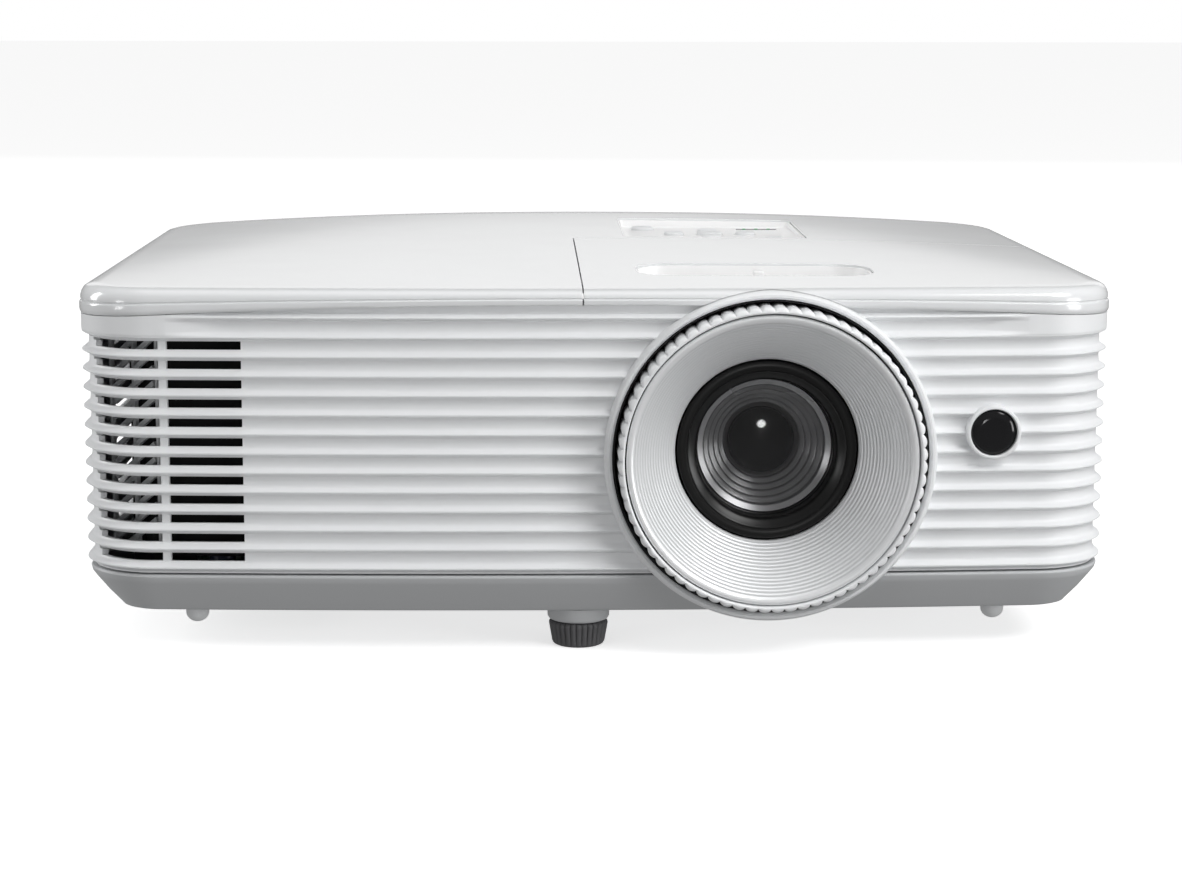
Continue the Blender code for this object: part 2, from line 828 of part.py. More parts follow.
loft(
    "exhaust_fan_rotor",
    [blade_ring(-146.0, 0.0), blade_ring(-137.5, 0.3), blade_ring(-129.0, 0.55)],
    BLACK,
    origin=(-137.5, FAN[1], FAN[2]),
)
blocks(
    "power_supply_board",
    (-122.0, -112.0, -90.0, -78.0, -60.0, -50.0, -34.0),
    (-88.0, -76.0, -52.0, -42.0, -20.0, -10.0),
    (
        (18.6, 18.6, 18.6, 18.6, 18.6, 18.6),
        (18.6, 52.0, 18.6, 40.0, 18.6, 34.0),
        (18.6, 18.6, 18.6, 18.6, 18.6, 18.6),
        (18.6, 46.0, 18.6, 56.0, 18.6, 30.0),
        (18.6, 18.6, 18.6, 18.6, 18.6, 18.6),
    ),
    17.0,
    BOARD,
)
blocks(
    "main_board",
    (-76.0, -60.0, -30.0, 14.0, 40.0, 98.0),
    (68.0, 74.0, 96.0, 100.0),
    (
        (27.6, 27.6, 27.6, 27.6, 27.6),
        (27.6, 33.0, 27.6, 31.0, 27.6),
        (27.6, 27.6, 27.6, 27.6, 27.6),
    ),
    26.0,
    BOARD,
)
turned(
    "speaker",
    [
        (0.0, -124.0),
        (13.0, -124.0),
        (13.0, -132.0),
        (24.0, -144.0),
        (25.0, -150.0),
        (23.0, -150.0),
        (8.0, -138.0),
        (0.0, -138.0),
    ],
    (0.0, 60.0, 54.0),
    "X",
    BLACK,
    32,
)

# ---- Sockets in the rear panel -------------------------------------------------------------

SOCKETS = (
    ("power_inlet", (-113.0, 98.0, 32.0), (-83.0, 119.8, 54.6), 2.2, BLACK),
    ("hdmi_socket_1", (-62.0, 104.0, 34.0), (-46.0, 119.8, 41.0), 0.9, STEEL),
    ("hdmi_socket_2", (-36.0, 104.0, 34.0), (-20.0, 119.8, 41.0), 0.9, STEEL),
    ("usb_socket", (-10.0, 104.0, 34.0), (4.6, 119.8, 41.4), 0.9, STEEL),
)
for name, low, high, thickness, surface in SOCKETS:
    tray(name, low, high, thickness, surface, "Y")
    room_low = (low[0] - GAP, 110.0, low[2] - GAP)
    room_high = (high[0] + GAP, 130.0, high[2] + GAP)
    combine(rear_panel, box(f"{name}_room", room_low, room_high, WHITE))
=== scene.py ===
import math

import bmesh
import bpy
import numpy as np
from mathutils import Matrix, Vector


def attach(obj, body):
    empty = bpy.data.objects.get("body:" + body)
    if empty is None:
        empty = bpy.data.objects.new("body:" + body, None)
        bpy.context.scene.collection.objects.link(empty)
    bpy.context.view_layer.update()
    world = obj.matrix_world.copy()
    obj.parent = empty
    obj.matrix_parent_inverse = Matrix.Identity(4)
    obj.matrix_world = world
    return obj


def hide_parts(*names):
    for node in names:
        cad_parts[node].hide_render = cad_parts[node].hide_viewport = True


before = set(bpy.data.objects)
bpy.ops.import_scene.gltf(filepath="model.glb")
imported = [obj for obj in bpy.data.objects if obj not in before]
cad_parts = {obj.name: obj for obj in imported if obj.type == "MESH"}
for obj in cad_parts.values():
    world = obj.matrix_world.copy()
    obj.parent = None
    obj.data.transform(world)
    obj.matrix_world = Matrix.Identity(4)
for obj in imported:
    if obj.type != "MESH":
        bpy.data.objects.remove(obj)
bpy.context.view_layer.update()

# ---- Camera and studio ------------------------------------------------------------------
# The projector stands on a plain white sweep. One large softbox hangs high on the right, a strip
# lights the left edge, and a sheet overhead and a card behind light the covers.

MM = 0.001
EYE = Vector((-24.9, -879.0, 195.8)) * MM
TURN_RIGHT = math.radians(1.68)
LOOK_DOWN = math.radians(9.59)
CAMERA_ROLL = math.radians(0.11)

level = math.cos(LOOK_DOWN)
ahead = Vector((math.sin(TURN_RIGHT) * level, math.cos(TURN_RIGHT) * level, -math.sin(LOOK_DOWN)))
camera_data = bpy.data.cameras.new("camera")
camera_data.lens = 78.74
camera_data.sensor_width = 36.0
camera_data.clip_start = 0.05
camera_data.clip_end = 50.0
camera = bpy.data.objects.new("camera", camera_data)
camera.rotation_mode = "QUATERNION"
camera.location = EYE
aimed = ahead.to_track_quat("-Z", "Y").to_matrix() @ Matrix.Rotation(CAMERA_ROLL, 3, "Z")
camera.rotation_quaternion = aimed.to_quaternion()
bpy.context.scene.collection.objects.link(camera)
bpy.context.scene.camera = camera
bpy.context.scene.view_settings.view_transform = "Standard"


SOFTBOXES = {
    "key_light": ((0.75, -0.75, 1.0), (0.03, -0.08, 0.06), 0.6, 0.6, 9.5),
    "right_fill": ((1.3, -0.85, 0.16), (0.05, -0.1, 0.06), 0.5, 0.5, 7.0),
    "left_fill": ((-1.25, -0.95, 0.16), (0.05, -0.1, 0.06), 0.3, 0.3, 2.0),
    "front_light": ((0.13, -1.45, 0.14), (0.05, -0.1, 0.06), 0.1, 0.1, 0.7),
    "left_strip": ((-0.95, 0.1, 0.35), (-0.12, 0.0, 0.06), 0.2, 0.5, 3.0),
    "overhead": ((-0.1, 0.0, 1.2), (0.0, 0.0, 0.1), 1.2, 0.7, 2.2),
    "back_card": ((0.25, 2.4, 0.62), (0.05, 0.0, 0.11), 2.6, 0.5, 3.0),
}
for name, (place, aim, width, height, power) in SOFTBOXES.items():
    data = bpy.data.lights.new(name, "AREA")
    data.shape = "DISK" if name == "front_light" else "RECTANGLE"
    data.size = width
    data.size_y = height
    data.energy = power
    light = bpy.data.objects.new(name, data)
    light.location = place
    light.rotation_mode = "QUATERNION"
    light.rotation_quaternion = (Vector(aim) - Vector(place)).to_track_quat("-Z", "Y")
    light.visible_camera = False
    bpy.context.scene.collection.objects.link(light)


class Wire:
    """One socket of a node tree. Arithmetic on it adds Math nodes."""

    def __init__(self, board, socket):
        self.board = board
        self.socket = socket

    def math(self, operation, *others):
        values = dict(enumerate((self, *others)))
        return self.board.add("ShaderNodeMath", {"operation": operation}, values)

    def __add__(self, other):
        return self.math("ADD", other)

    def __sub__(self, other):
        return self.math("SUBTRACT", other)

    def __mul__(self, other):
        return self.math("MULTIPLY", other)

    def __truediv__(self, other):
        return self.math("DIVIDE", other)

    def __gt__(self, other):
        return self.math("GREATER_THAN", other)

    def __lt__(self, other):
        return self.math("LESS_THAN", other)

    def __rsub__(self, other):
        return self * -1.0 + other

    def __pow__(self, other):
        return self.math("POWER", other)

    def held(self):
        """The value kept between 0 and 1."""
        return self.math("MAXIMUM", 0.0).math("MINIMUM", 1.0)

    __radd__ = __add__
    __rmul__ = __mul__


class Board:
    """A node tree being wired: add() makes a node from its type, settings and inputs."""

    def __init__(self, tree):
        self.tree = tree

    def node(self, kind, settings=None, inputs=None):
        made = self.tree.nodes.new(kind)
        for key, value in (settings or {}).items():
            if key == "stops":
                ramp = made.color_ramp
                while len(ramp.elements) < len(value):
                    ramp.elements.new(0.5)
                for stop, (at, color) in zip(ramp.elements, value):
                    stop.position = at
                    stop.color = color
            else:
                setattr(made, key, value)
        for key, value in (inputs or {}).items():
            self.set(made.inputs[key], value)
        return made

    def set(self, socket, value):
        if isinstance(value, Wire):
            self.tree.links.new(value.socket, socket)
        else:
            socket.default_value = value

    def add(self, kind, settings=None, inputs=None, output=0):
        return Wire(self, self.node(kind, settings, inputs).outputs[output])


SKY = ((0.0, 0.34), (0.38, 0.26), (0.5, 0.20), (0.62, 0.30), (1.0, 0.40))
WHITE = (1.0, 1.0, 1.0, 1.0)
world = bpy.data.worlds.new("studio")
world.use_nodes = True
sky = Board(world.node_tree)
upward = sky.add("ShaderNodeSeparateXYZ", None, {0: sky.add("ShaderNodeTexCoord")}, output=2)
height = sky.add("ShaderNodeMapRange", None, {"Value": upward, "From Min": -1.0})
stops = [(at, (grey, grey, grey, 1.0)) for at, grey in SKY]
shade = sky.add("ShaderNodeValToRGB", {"stops": stops}, {"Fac": height})
camera_ray = sky.add("ShaderNodeLightPath")
seen = sky.node("ShaderNodeMix", {"data_type": "RGBA"}, {"Factor": camera_ray, 6: shade, 7: WHITE})
sky.set(world.node_tree.nodes["Background"].inputs["Color"], Wire(sky, seen.outputs[2]))
bpy.context.scene.world = world


# ---- Finishes ---------------------------------------------------------------------------
# The case is moulded ABS, the lens parts are metal and glass. Each finish is one shader whose
# colour, gloss and surface change slowly, as on moulded, cast or plated parts.


def principled(name):
    """A new material, its tree ready to be wired, and its shader."""
    material = bpy.data.materials.new(name)
    material.use_nodes = True
    return material, Board(material.node_tree), material.node_tree.nodes["Principled BSDF"]


def finish(
    name, color, roughness, metallic=0.0, coat=0.0, grain=0.0, grain_size=0.0004, mottle=0.02, **fixed
):
    """A moulded, cast or plated surface: fine grain in its bump, slow changes of shade and gloss."""
    material, board, shader = principled(name)
    place = board.add("ShaderNodeTexCoord", output=3)
    slow = board.add("ShaderNodeTexNoise", None, {"Vector": place, "Scale": 18.0, "Detail": 2.0})
    low = tuple(c * (1.0 - mottle) for c in color) + (1.0,)
    high = tuple(min(1.0, c * (1.0 + mottle)) for c in color) + (1.0,)
    shade = board.node("ShaderNodeMix", {"data_type": "RGBA"}, {"Factor": slow, 6: low, 7: high})
    board.set(shader.inputs["Base Color"], Wire(board, shade.outputs[2]))
    board.set(shader.inputs["Roughness"], slow * 0.08 + (roughness - 0.04))
    shader.inputs["Metallic"].default_value = metallic
    shader.inputs["Coat Weight"].default_value = coat
    shader.inputs["Coat Roughness"].default_value = 0.08
    for key, value in fixed.items():
        shader.inputs[key].default_value = value
    if grain:
        fine = board.add(
            "ShaderNodeTexNoise", None, {"Vector": place, "Scale": 1.0 / grain_size, "Detail": 3.0}
        )
        bump = board.add(
            "ShaderNodeBump", None, {"Height": fine, "Strength": grain, "Distance": 0.0001}
        )
        board.set(shader.inputs["Normal"], bump)
    return material


def dress(material, *names):
    """Gives carried-over CAD nodes their finish."""
    for name in names:
        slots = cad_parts[name].data.materials
        slots.clear()
        slots.append(material)


# ---- Ribbed case walls ------------------------------------------------------------------
# The front wall wraps both corners and the side walls carry its ribs back to the rear panel.
# They are injection-moulded white ABS, with scalloped flutes between narrow ribs, and they
# clip into the bottom case.

HALF_WIDTH = 158.0
FRONT_Y = -114.0
REAR_Y = 121.6
FRONT_BOW = 2.2e-4
FRONT_CORNER = 24.0
REAR_CORNER = 20.0
SIDE_SEAM_Y = -70.0
REAR_SEAM_Y = 98.0
SKIRT_TOP = 25.6
PART_LINE = 108.1
PART_LINE_FALL = 4.3
RIBS = 13
RIB_PITCH = 5.87
TOP_RIB = 98.6
LOWEST_RIB = TOP_RIB - RIB_PITCH * (RIBS - 1)
FLUTE_DEPTH = 2.2
ROWS_PER_RIB = 14
WALL = 2.0
LENS_X = 51.8
LENS_Z = 62.0
IR_X = 119.5
IR_Z = 69.1
FRONT_WINDOW = (-129.8, -107.3)
CORNER_WINDOW = (-152.38, -132.2)
SLOT_SHARE = 0.46

white_plastic = finish("white_plastic", (0.84, 0.85, 0.86), 0.42, grain=0.12, grain_size=0.0005)


def plan_half(extra):
    """The right half of the case's plan, from the middle of the front to the middle of the rear."""
    straight = HALF_WIDTH - FRONT_CORNER
    xs = sorted({*np.arange(0.0, straight, 3.0).round(3).tolist(), *extra, straight})
    points = [(x, FRONT_Y + FRONT_BOW * x * x) for x in xs]
    corner_y = FRONT_Y + FRONT_BOW * straight**2 + FRONT_CORNER
    for angle in np.radians(np.arange(5, 91, 5)):
        points.append(
            (straight + FRONT_CORNER * math.sin(angle), corner_y - FRONT_CORNER * math.cos(angle))
        )
    side = {*np.arange(-80.0, REAR_SEAM_Y, 6.0).tolist(), SIDE_SEAM_Y, REAR_SEAM_Y}
    points += [(HALF_WIDTH, y) for y in sorted(side)]
    inner = HALF_WIDTH - REAR_CORNER
    for angle in np.radians(np.arange(0, 91, 7.5)):
        across = inner + REAR_CORNER * math.cos(angle)
        points.append((across, REAR_Y - REAR_CORNER + REAR_CORNER * math.sin(angle)))
    return points + [(x, REAR_Y) for x in np.arange(inner - 12.0, 0.0, -12.0)] + [(0.0, REAR_Y)]


window_edges = sorted(abs(x) for x in (*FRONT_WINDOW, CORNER_WINDOW[1]))
half = plan_half(window_edges)
PLAN = np.array(half + [(-x, y) for x, y in half[-2:0:-1]])
COUNT = len(PLAN)


def outward(points):
    """Mitred outward direction at each corner of a closed ring drawn counter-clockwise."""
    before = points - np.roll(points, 1, axis=0)
    after = np.roll(points, -1, axis=0) - points
    before /= np.linalg.norm(before, axis=1)[:, None]
    after /= np.linalg.norm(after, axis=1)[:, None]
    out = np.stack([before[:, 1] + after[:, 1], -before[:, 0] - after[:, 0]], axis=1)
    out /= np.linalg.norm(out, axis=1)[:, None]
    return out / np.maximum(0.5, out[:, 0] * before[:, 1] - out[:, 1] * before[:, 0])[:, None]


OUT = outward(PLAN)


def part_line(x):
    return PART_LINE - PART_LINE_FALL * (x / HALF_WIDTH) ** 2


def mesh_object(name, points, faces, material):
    """A new object at the origin from points in millimetres, with its faces turned outwards."""
    data = bpy.data.meshes.new(name)
    data.from_pydata([tuple(Vector(p) * MM) for p in points], [], faces)
    shape = bmesh.new()
    shape.from_mesh(data)
    bmesh.ops.recalc_face_normals(shape, faces=shape.faces)
    shape.to_mesh(data)
    shape.free()
    data.materials.append(material)
    made = bpy.data.objects.new(name, data)
    bpy.context.scene.collection.objects.link(made)
    return made


def soften(thing, angle=35.0):
    """Smooth shading, kept sharp where faces meet at more than an angle."""
    data = thing.data
    data.polygons.foreach_set("use_smooth", [True] * len(data.polygons))
    shape = bmesh.new()
    shape.from_mesh(data)
    limit = math.radians(angle)
    for edge in shape.edges:
        edge.smooth = len(edge.link_faces) == 2 and edge.calc_face_angle(0.0) < limit
    shape.to_mesh(data)
    shape.free()


def make_plain(thing):
    """Replaces an object's mesh with what its modifiers make of it."""
    graph = bpy.context.evaluated_depsgraph_get()
    plain = bpy.data.meshes.new_from_object(thing.evaluated_get(graph))
    thing.modifiers.clear()
    thing.data = plain


def cut(thing, tool):
    change = thing.modifiers.new("cut", "BOOLEAN")
    change.operation = "DIFFERENCE"
    change.solver = "MANIFOLD"
    change.object = tool
    make_plain(thing)


def scrap(*things):
    for thing in things:
        bpy.data.objects.remove(thing)


class NodePlan(Board):
    """A Geometry Nodes tree with named sizes. It ends in Realize Instances and Set Material."""

    def __init__(self, name, **sizes):
        super().__init__(bpy.data.node_groups.new(name, "GeometryNodeTree"))
        sockets = self.tree.interface
        sockets.new_socket("Geometry", in_out="OUTPUT", socket_type="NodeSocketGeometry")
        sockets.new_socket("Geometry", in_out="INPUT", socket_type="NodeSocketGeometry")
        self.keys = {}
        self.sizes = sizes
        for key, value in sizes.items():
            kind = "NodeSocketInt" if isinstance(value, int) else "NodeSocketFloat"
            self.keys[key] = sockets.new_socket(key, in_out="INPUT", socket_type=kind).identifier
        self.source = self.tree.nodes.new("NodeGroupInput")

    def size(self, name):
        return Wire(self, self.source.outputs[name])

    def geometry(self):
        return Wire(self, self.source.outputs["Geometry"])

    def position(self):
        parts = self.node("ShaderNodeSeparateXYZ", None, {0: self.add("GeometryNodeInputPosition")})
        return [Wire(self, parts.outputs[i]) for i in range(3)]

    def point(self, x=0.0, y=0.0, z=0.0):
        return self.add("ShaderNodeCombineXYZ", None, {0: x, 1: y, 2: z})

    def build(self, thing, result, material):
        """Ends the tree, runs it on an object with the given sizes and leaves a plain mesh."""
        real = self.add("GeometryNodeRealizeInstances", None, {0: result})
        done = self.add("GeometryNodeSetMaterial", None, {"Geometry": real, "Material": material})
        end = self.tree.nodes.new("NodeGroupOutput")
        self.tree.links.new(done.socket, end.inputs[0])
        modifier = thing.modifiers.new(self.tree.name, "NODES")
        modifier.node_group = self.tree
        for key, value in self.sizes.items():
            modifier[self.keys[key]] = value
        make_plain(thing)


def path_object(name, indices):
    """A run of the plan as loose points that carry their outward direction."""
    data = bpy.data.meshes.new(name)
    data.from_pydata(
        [(PLAN[i % COUNT][0] * MM, PLAN[i % COUNT][1] * MM, 0.0) for i in indices], [], []
    )
    direction = data.attributes.new("outward", "FLOAT_VECTOR", "POINT")
    flat = [c for i in indices for c in (OUT[i % COUNT][0], OUT[i % COUNT][1], 0.0)]
    direction.data.foreach_set("vector", flat)
    made = bpy.data.objects.new(name, data)
    bpy.context.scene.collection.objects.link(made)
    return made


FLUTE_START = 0.04
FLUTE_IN = 0.26
FLUTE_OUT = 0.27
FLUTE_FULL = 1.06
FLUTE_LEAN = 0.16
FADE_X = 114.0
FADE_WIDTH = 16.0
SKIRT_GAP = 0.3
COVER_GAP = 0.2
HAIR = 0.01


def eased(share):
    """A share held between 0 and 1, with a soft start and end."""
    held = share.held()
    return held * held * (3.0 - held * 2.0)


BAND_ROWS = 26
WALL_ROWS = RIBS * ROWS_PER_RIB + BAND_ROWS


def ribbed_wall(name, first, last, windows, every_slot):
    """A wall along the plan from one corner to another. Windows are ranges of X or Y that lose their
    slots between the ribs; every_slot is 1 for all rows and 2 for every second row."""
    start = path_object(name, range(first, last + 1))
    tree = NodePlan(
        f"{name}_flutes",
        Columns=last - first + 1,
        Rows=WALL_ROWS,
        Pitch=RIB_PITCH * MM,
        Top_rib=TOP_RIB * MM,
        Flute_depth=FLUTE_DEPTH * MM,
        Slot_share=SLOT_SHARE,
    )
    sheet = tree.node("GeometryNodeMeshGrid", None, {"Size X": 1.0, "Size Y": 1.0})
    tree.set(sheet.inputs["Vertices X"], tree.size("Columns"))
    tree.set(sheet.inputs["Vertices Y"], tree.size("Rows"))
    index = tree.add("GeometryNodeInputIndex")
    column = (index / tree.size("Rows")).math("FLOOR")
    row = index - column * tree.size("Rows")
    along = tree.node(
        "GeometryNodeSampleIndex", {"data_type": "FLOAT_VECTOR"}, {"Geometry": tree.geometry()}
    )
    tree.set(along.inputs["Value"], tree.add("GeometryNodeInputPosition"))
    tree.set(along.inputs["Index"], column)
    facing = tree.node(
        "GeometryNodeSampleIndex", {"data_type": "FLOAT_VECTOR"}, {"Geometry": tree.geometry()}
    )
    named = tree.node(
        "GeometryNodeInputNamedAttribute", {"data_type": "FLOAT_VECTOR"}, {"Name": "outward"}
    )
    tree.set(facing.inputs["Value"], Wire(tree, named.outputs[0]))
    tree.set(facing.inputs["Index"], column)
    base = tree.node("ShaderNodeSeparateXYZ", None, {0: Wire(tree, along.outputs[0])})
    base_x = Wire(tree, base.outputs[0])
    # Heights run up in even steps through the ribs, then stretch to meet the parting line.
    step = RIB_PITCH / ROWS_PER_RIB * MM
    steps_below = round((LOWEST_RIB - SKIRT_TOP - SKIRT_GAP) / step * MM)
    bottom = LOWEST_RIB * MM - step * steps_below
    even = row * step + bottom
    top_rib = tree.size("Top_rib")
    across = base_x / (HALF_WIDTH * MM)
    edge = across * across * (-PART_LINE_FALL * MM) + (PART_LINE - COVER_GAP) * MM
    highest = bottom + (WALL_ROWS - 1) * step
    stretched = top_rib + (even - top_rib) * (edge - top_rib) / (highest - TOP_RIB * MM)
    above = even > (TOP_RIB + HAIR) * MM
    height = even + (stretched - even) * above
    # Depth of the flute below each rib; the flute above the top rib fades out before the corners.
    fall = (top_rib + tree.size("Pitch") - height) / tree.size("Pitch")
    phase = (fall - FLUTE_START).math("FRACT")
    hollow = FLUTE_FULL - phase * FLUTE_LEAN
    scallop = eased(phase / FLUTE_IN) * hollow * eased((1.0 - phase) / FLUTE_OUT)
    fade = 1.0 - ((base_x.math("ABSOLUTE") - FADE_X * MM) / (FADE_WIDTH * MM)).held()
    fading = (height > (TOP_RIB + HAIR) * MM) * (1.0 - fade)
    depth = scallop * (1.0 - fading) * tree.size("Flute_depth")
    back = tree.add(
        "ShaderNodeVectorMath",
        {"operation": "SCALE"},
        {0: Wire(tree, facing.outputs[0]), "Scale": depth * -1.0},
    )
    flat = tree.add(
        "ShaderNodeVectorMath", {"operation": "ADD"}, {0: Wire(tree, along.outputs[0]), 1: back}
    )
    placed = tree.add(
        "ShaderNodeVectorMath", {"operation": "ADD"}, {0: flat, 1: tree.point(0.0, 0.0, height)}
    )
    wall = tree.add(
        "GeometryNodeSetPosition",
        None,
        {"Geometry": Wire(tree, sheet.outputs[0]), "Position": placed},
    )
    x, y, z = tree.position()
    turn = (top_rib - z) / tree.size("Pitch")
    middle = (turn.math("FRACT") - 0.5).math("ABSOLUTE") < tree.size("Slot_share") * 0.5
    inside = middle * (z < TOP_RIB * MM) * (z > LOWEST_RIB * MM)
    if every_slot == 2:
        inside = inside * ((turn * 0.5).math("FRACT") > 0.5)
    for axis, low, high in windows:
        measure = x if axis == "X" else y
        chosen = inside * (measure > low * MM) * (measure < high * MM)
        wall = tree.add(
            "GeometryNodeDeleteGeometry",
            {"domain": "FACE"},
            {"Geometry": wall, "Selection": chosen},
        )
    tree.build(start, wall, white_plastic)
    shape = bmesh.new()
    shape.from_mesh(start.data)
    bmesh.ops.recalc_face_normals(shape, faces=shape.faces)
    middle_face = max(shape.faces, key=lambda f: abs(f.normal.y) + abs(f.normal.x))
    centre = middle_face.calc_center_median()
    if middle_face.normal.x * centre.x + middle_face.normal.y * centre.y < 0:
        bmesh.ops.reverse_faces(shape, faces=shape.faces)
    shape.to_mesh(start.data)
    shape.free()
    thick = start.modifiers.new("wall", "SOLIDIFY")
    thick.thickness = WALL * MM
    thick.offset = -1.0
    make_plain(start)
    soften(start, 50.0)
    return start


def belongs(thing, body, node):
    """The piece rides on a body and stands for its CAD node, which is hidden."""
    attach(thing, body)
    if node:
        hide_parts(node)


def at_plan(y):
    return next(
        i for i, p in enumerate(half) if abs(p[0] - HALF_WIDTH) < 1e-6 and abs(p[1] - y) < 1e-6
    )


SIDE_SEAM = at_plan(SIDE_SEAM_Y)
REAR_SEAM = at_plan(REAR_SEAM_Y)
front_wall = ribbed_wall(
    "front_wall",
    COUNT - SIDE_SEAM,
    COUNT + SIDE_SEAM,
    (("X", *FRONT_WINDOW), ("X", *CORNER_WINDOW)),
    1,
)


def turned(name, profile, centre, axis, material, segments=128, angle=35.0):
    """Turns a profile of (radius, distance along the axis), in millimetres, about an axis."""
    profile = [p for i, p in enumerate(profile) if i == 0 or p != profile[i - 1]]
    points = []
    rows = []
    for r, along in profile:
        if r < 1e-6:
            rows.append([len(points)])
            ring = [(0.0, 0.0)]
        else:
            rows.append(list(range(len(points), len(points) + segments)))
            turns = [2 * math.pi * i / segments for i in range(segments)]
            ring = [(r * math.cos(turn), r * math.sin(turn)) for turn in turns]
        for a, b in ring:
            x, y, z = {"X": (along, a, b), "Y": (a, along, b), "Z": (a, b, along)}[axis]
            points.append((centre[0] + x, centre[1] + y, centre[2] + z))
    faces = []
    pairs = list(zip(rows, rows[1:]))
    if profile[0][0] > 1e-6:
        pairs.append((rows[-1], rows[0]))
    for low, high in pairs:
        for i in range(segments):
            k = (i + 1) % segments
            if len(low) == 1 and len(high) == 1:
                break
            if len(low) == 1:
                faces.append((low[0], high[i], high[k]))
            elif len(high) == 1:
                faces.append((low[i], low[k], high[0]))
            else:
                faces.append((low[i], low[k], high[k], high[i]))
    made = mesh_object(name, points, faces, material)
    soften(made, angle)
    return made


LENS = (LENS_X, 0.0, LENS_Z)
WELL_R = 47.9
IR = (IR_X, 0.0, IR_Z)
for r, near, far, centre, segments in (
    (WELL_R + 1.0, -130.0, -90.0, LENS, 128),
    (8.0, -125.0, -95.0, IR, 64),
):
    profile = [(0.0, near), (r, near), (r, far), (0.0, far)]
    cutter = turned("cutter", profile, centre, "Y", white_plastic, segments)
    cut(front_wall, cutter)
    scrap(cutter)
soften(front_wall, 50.0)
belongs(front_wall, "case", "front_grille")

right_wall = ribbed_wall("right_wall", SIDE_SEAM, REAR_SEAM, (("Y", 10.0, 78.0),), 2)
left_wall = ribbed_wall("left_wall", COUNT - REAR_SEAM, COUNT - SIDE_SEAM, (("Y", -52.0, 22.0),), 2)
belongs(right_wall, "case", "right_side_panel")
belongs(left_wall, "case", "left_side_panel")


def plan_ring(distance, height):
    """The case's plan moved out by a distance, at a height that may depend on where each point is."""
    placed = PLAN + OUT * distance
    return [(x, y, height(x, y) if callable(height) else height) for x, y in placed]


def skin(name, rings, material, angle=35.0):
    """Skins a row of equal rings of points, and caps both ends."""
    count = len(rings[0])
    points = [p for ring in rings for p in ring]
    faces = []
    for i in range(len(rings) - 1):
        low = i * count
        high = (i + 1) * count
        faces += [
            (low + j, low + (j + 1) % count, high + (j + 1) % count, high + j) for j in range(count)
        ]
    faces += [tuple(range(count)), tuple(range((len(rings) - 1) * count, len(rings) * count))]
    made = mesh_object(name, points, faces, material)
    soften(made, angle)
    return made


def boxes(name, *spans, material=white_plastic):
    """One object that holds several plain boxes, each given by its lowest and highest corner."""
    points = []
    faces = []
    for low, high in spans:
        at = len(points)
        points += [
            (x, y, z)
            for x in (low[0], high[0])
            for y in (low[1], high[1])
            for z in (low[2], high[2])
        ]
        for face in (
            (0, 1, 3, 2), (4, 6, 7, 5), (0, 4, 5, 1), (2, 3, 7, 6), (0, 2, 6, 4), (1, 5, 7, 3)
        ):
            faces.append([at + k for k in face])
    return mesh_object(name, points, faces, material)


def cut_away(thing, *tools, angle=35.0):
    for tool in tools:
        cut(thing, tool)
    scrap(*tools)
    soften(thing, angle)


def bevel(thing, width, segments=2, angle=50.0):
    """Rounds an object's sharp edges by a width in millimetres."""
    soften(thing)
    rounding = thing.modifiers.new("edges", "BEVEL")
    rounding.width = width * MM
    rounding.segments = segments
    rounding.limit_method = "ANGLE"
    rounding.angle_limit = math.radians(angle)
    balance = thing.modifiers.new("normals", "WEIGHTED_NORMAL")
    balance.keep_sharp = True
    make_plain(thing)
    return thing


def repeated(name, item, count, material, start=(0, 0, 0), step=(0, 0, 0), axis="Z", turn=0.0):
    """Copies of a small piece that stands at the origin, each moved and turned on from the last."""
    tree = NodePlan(f"{name}_copies", Count=count, Turn=math.radians(turn))
    line = tree.node("GeometryNodeMeshLine", {"mode": "OFFSET"})
    tree.set(line.inputs["Start Location"], tuple(v * MM for v in start))
    tree.set(line.inputs["Offset"], tuple(v * MM for v in step))
    tree.set(line.inputs["Count"], tree.size("Count"))
    angle = tree.add("GeometryNodeInputIndex") * tree.size("Turn")
    source = tree.node("GeometryNodeObjectInfo", {"transform_space": "ORIGINAL"}, {"Object": item})
    copies = tree.node("GeometryNodeInstanceOnPoints")
    tree.set(copies.inputs["Points"], Wire(tree, line.outputs[0]))
    tree.set(copies.inputs["Instance"], Wire(tree, source.outputs["Geometry"]))
    tree.set(copies.inputs["Rotation"], tree.point(**{axis.lower(): angle}))
    holder = bpy.data.objects.new(name, bpy.data.meshes.new(name))
    bpy.context.scene.collection.objects.link(holder)
    tree.build(holder, Wire(tree, copies.outputs[0]), material)
    scrap(item)
    soften(holder)
    return holder


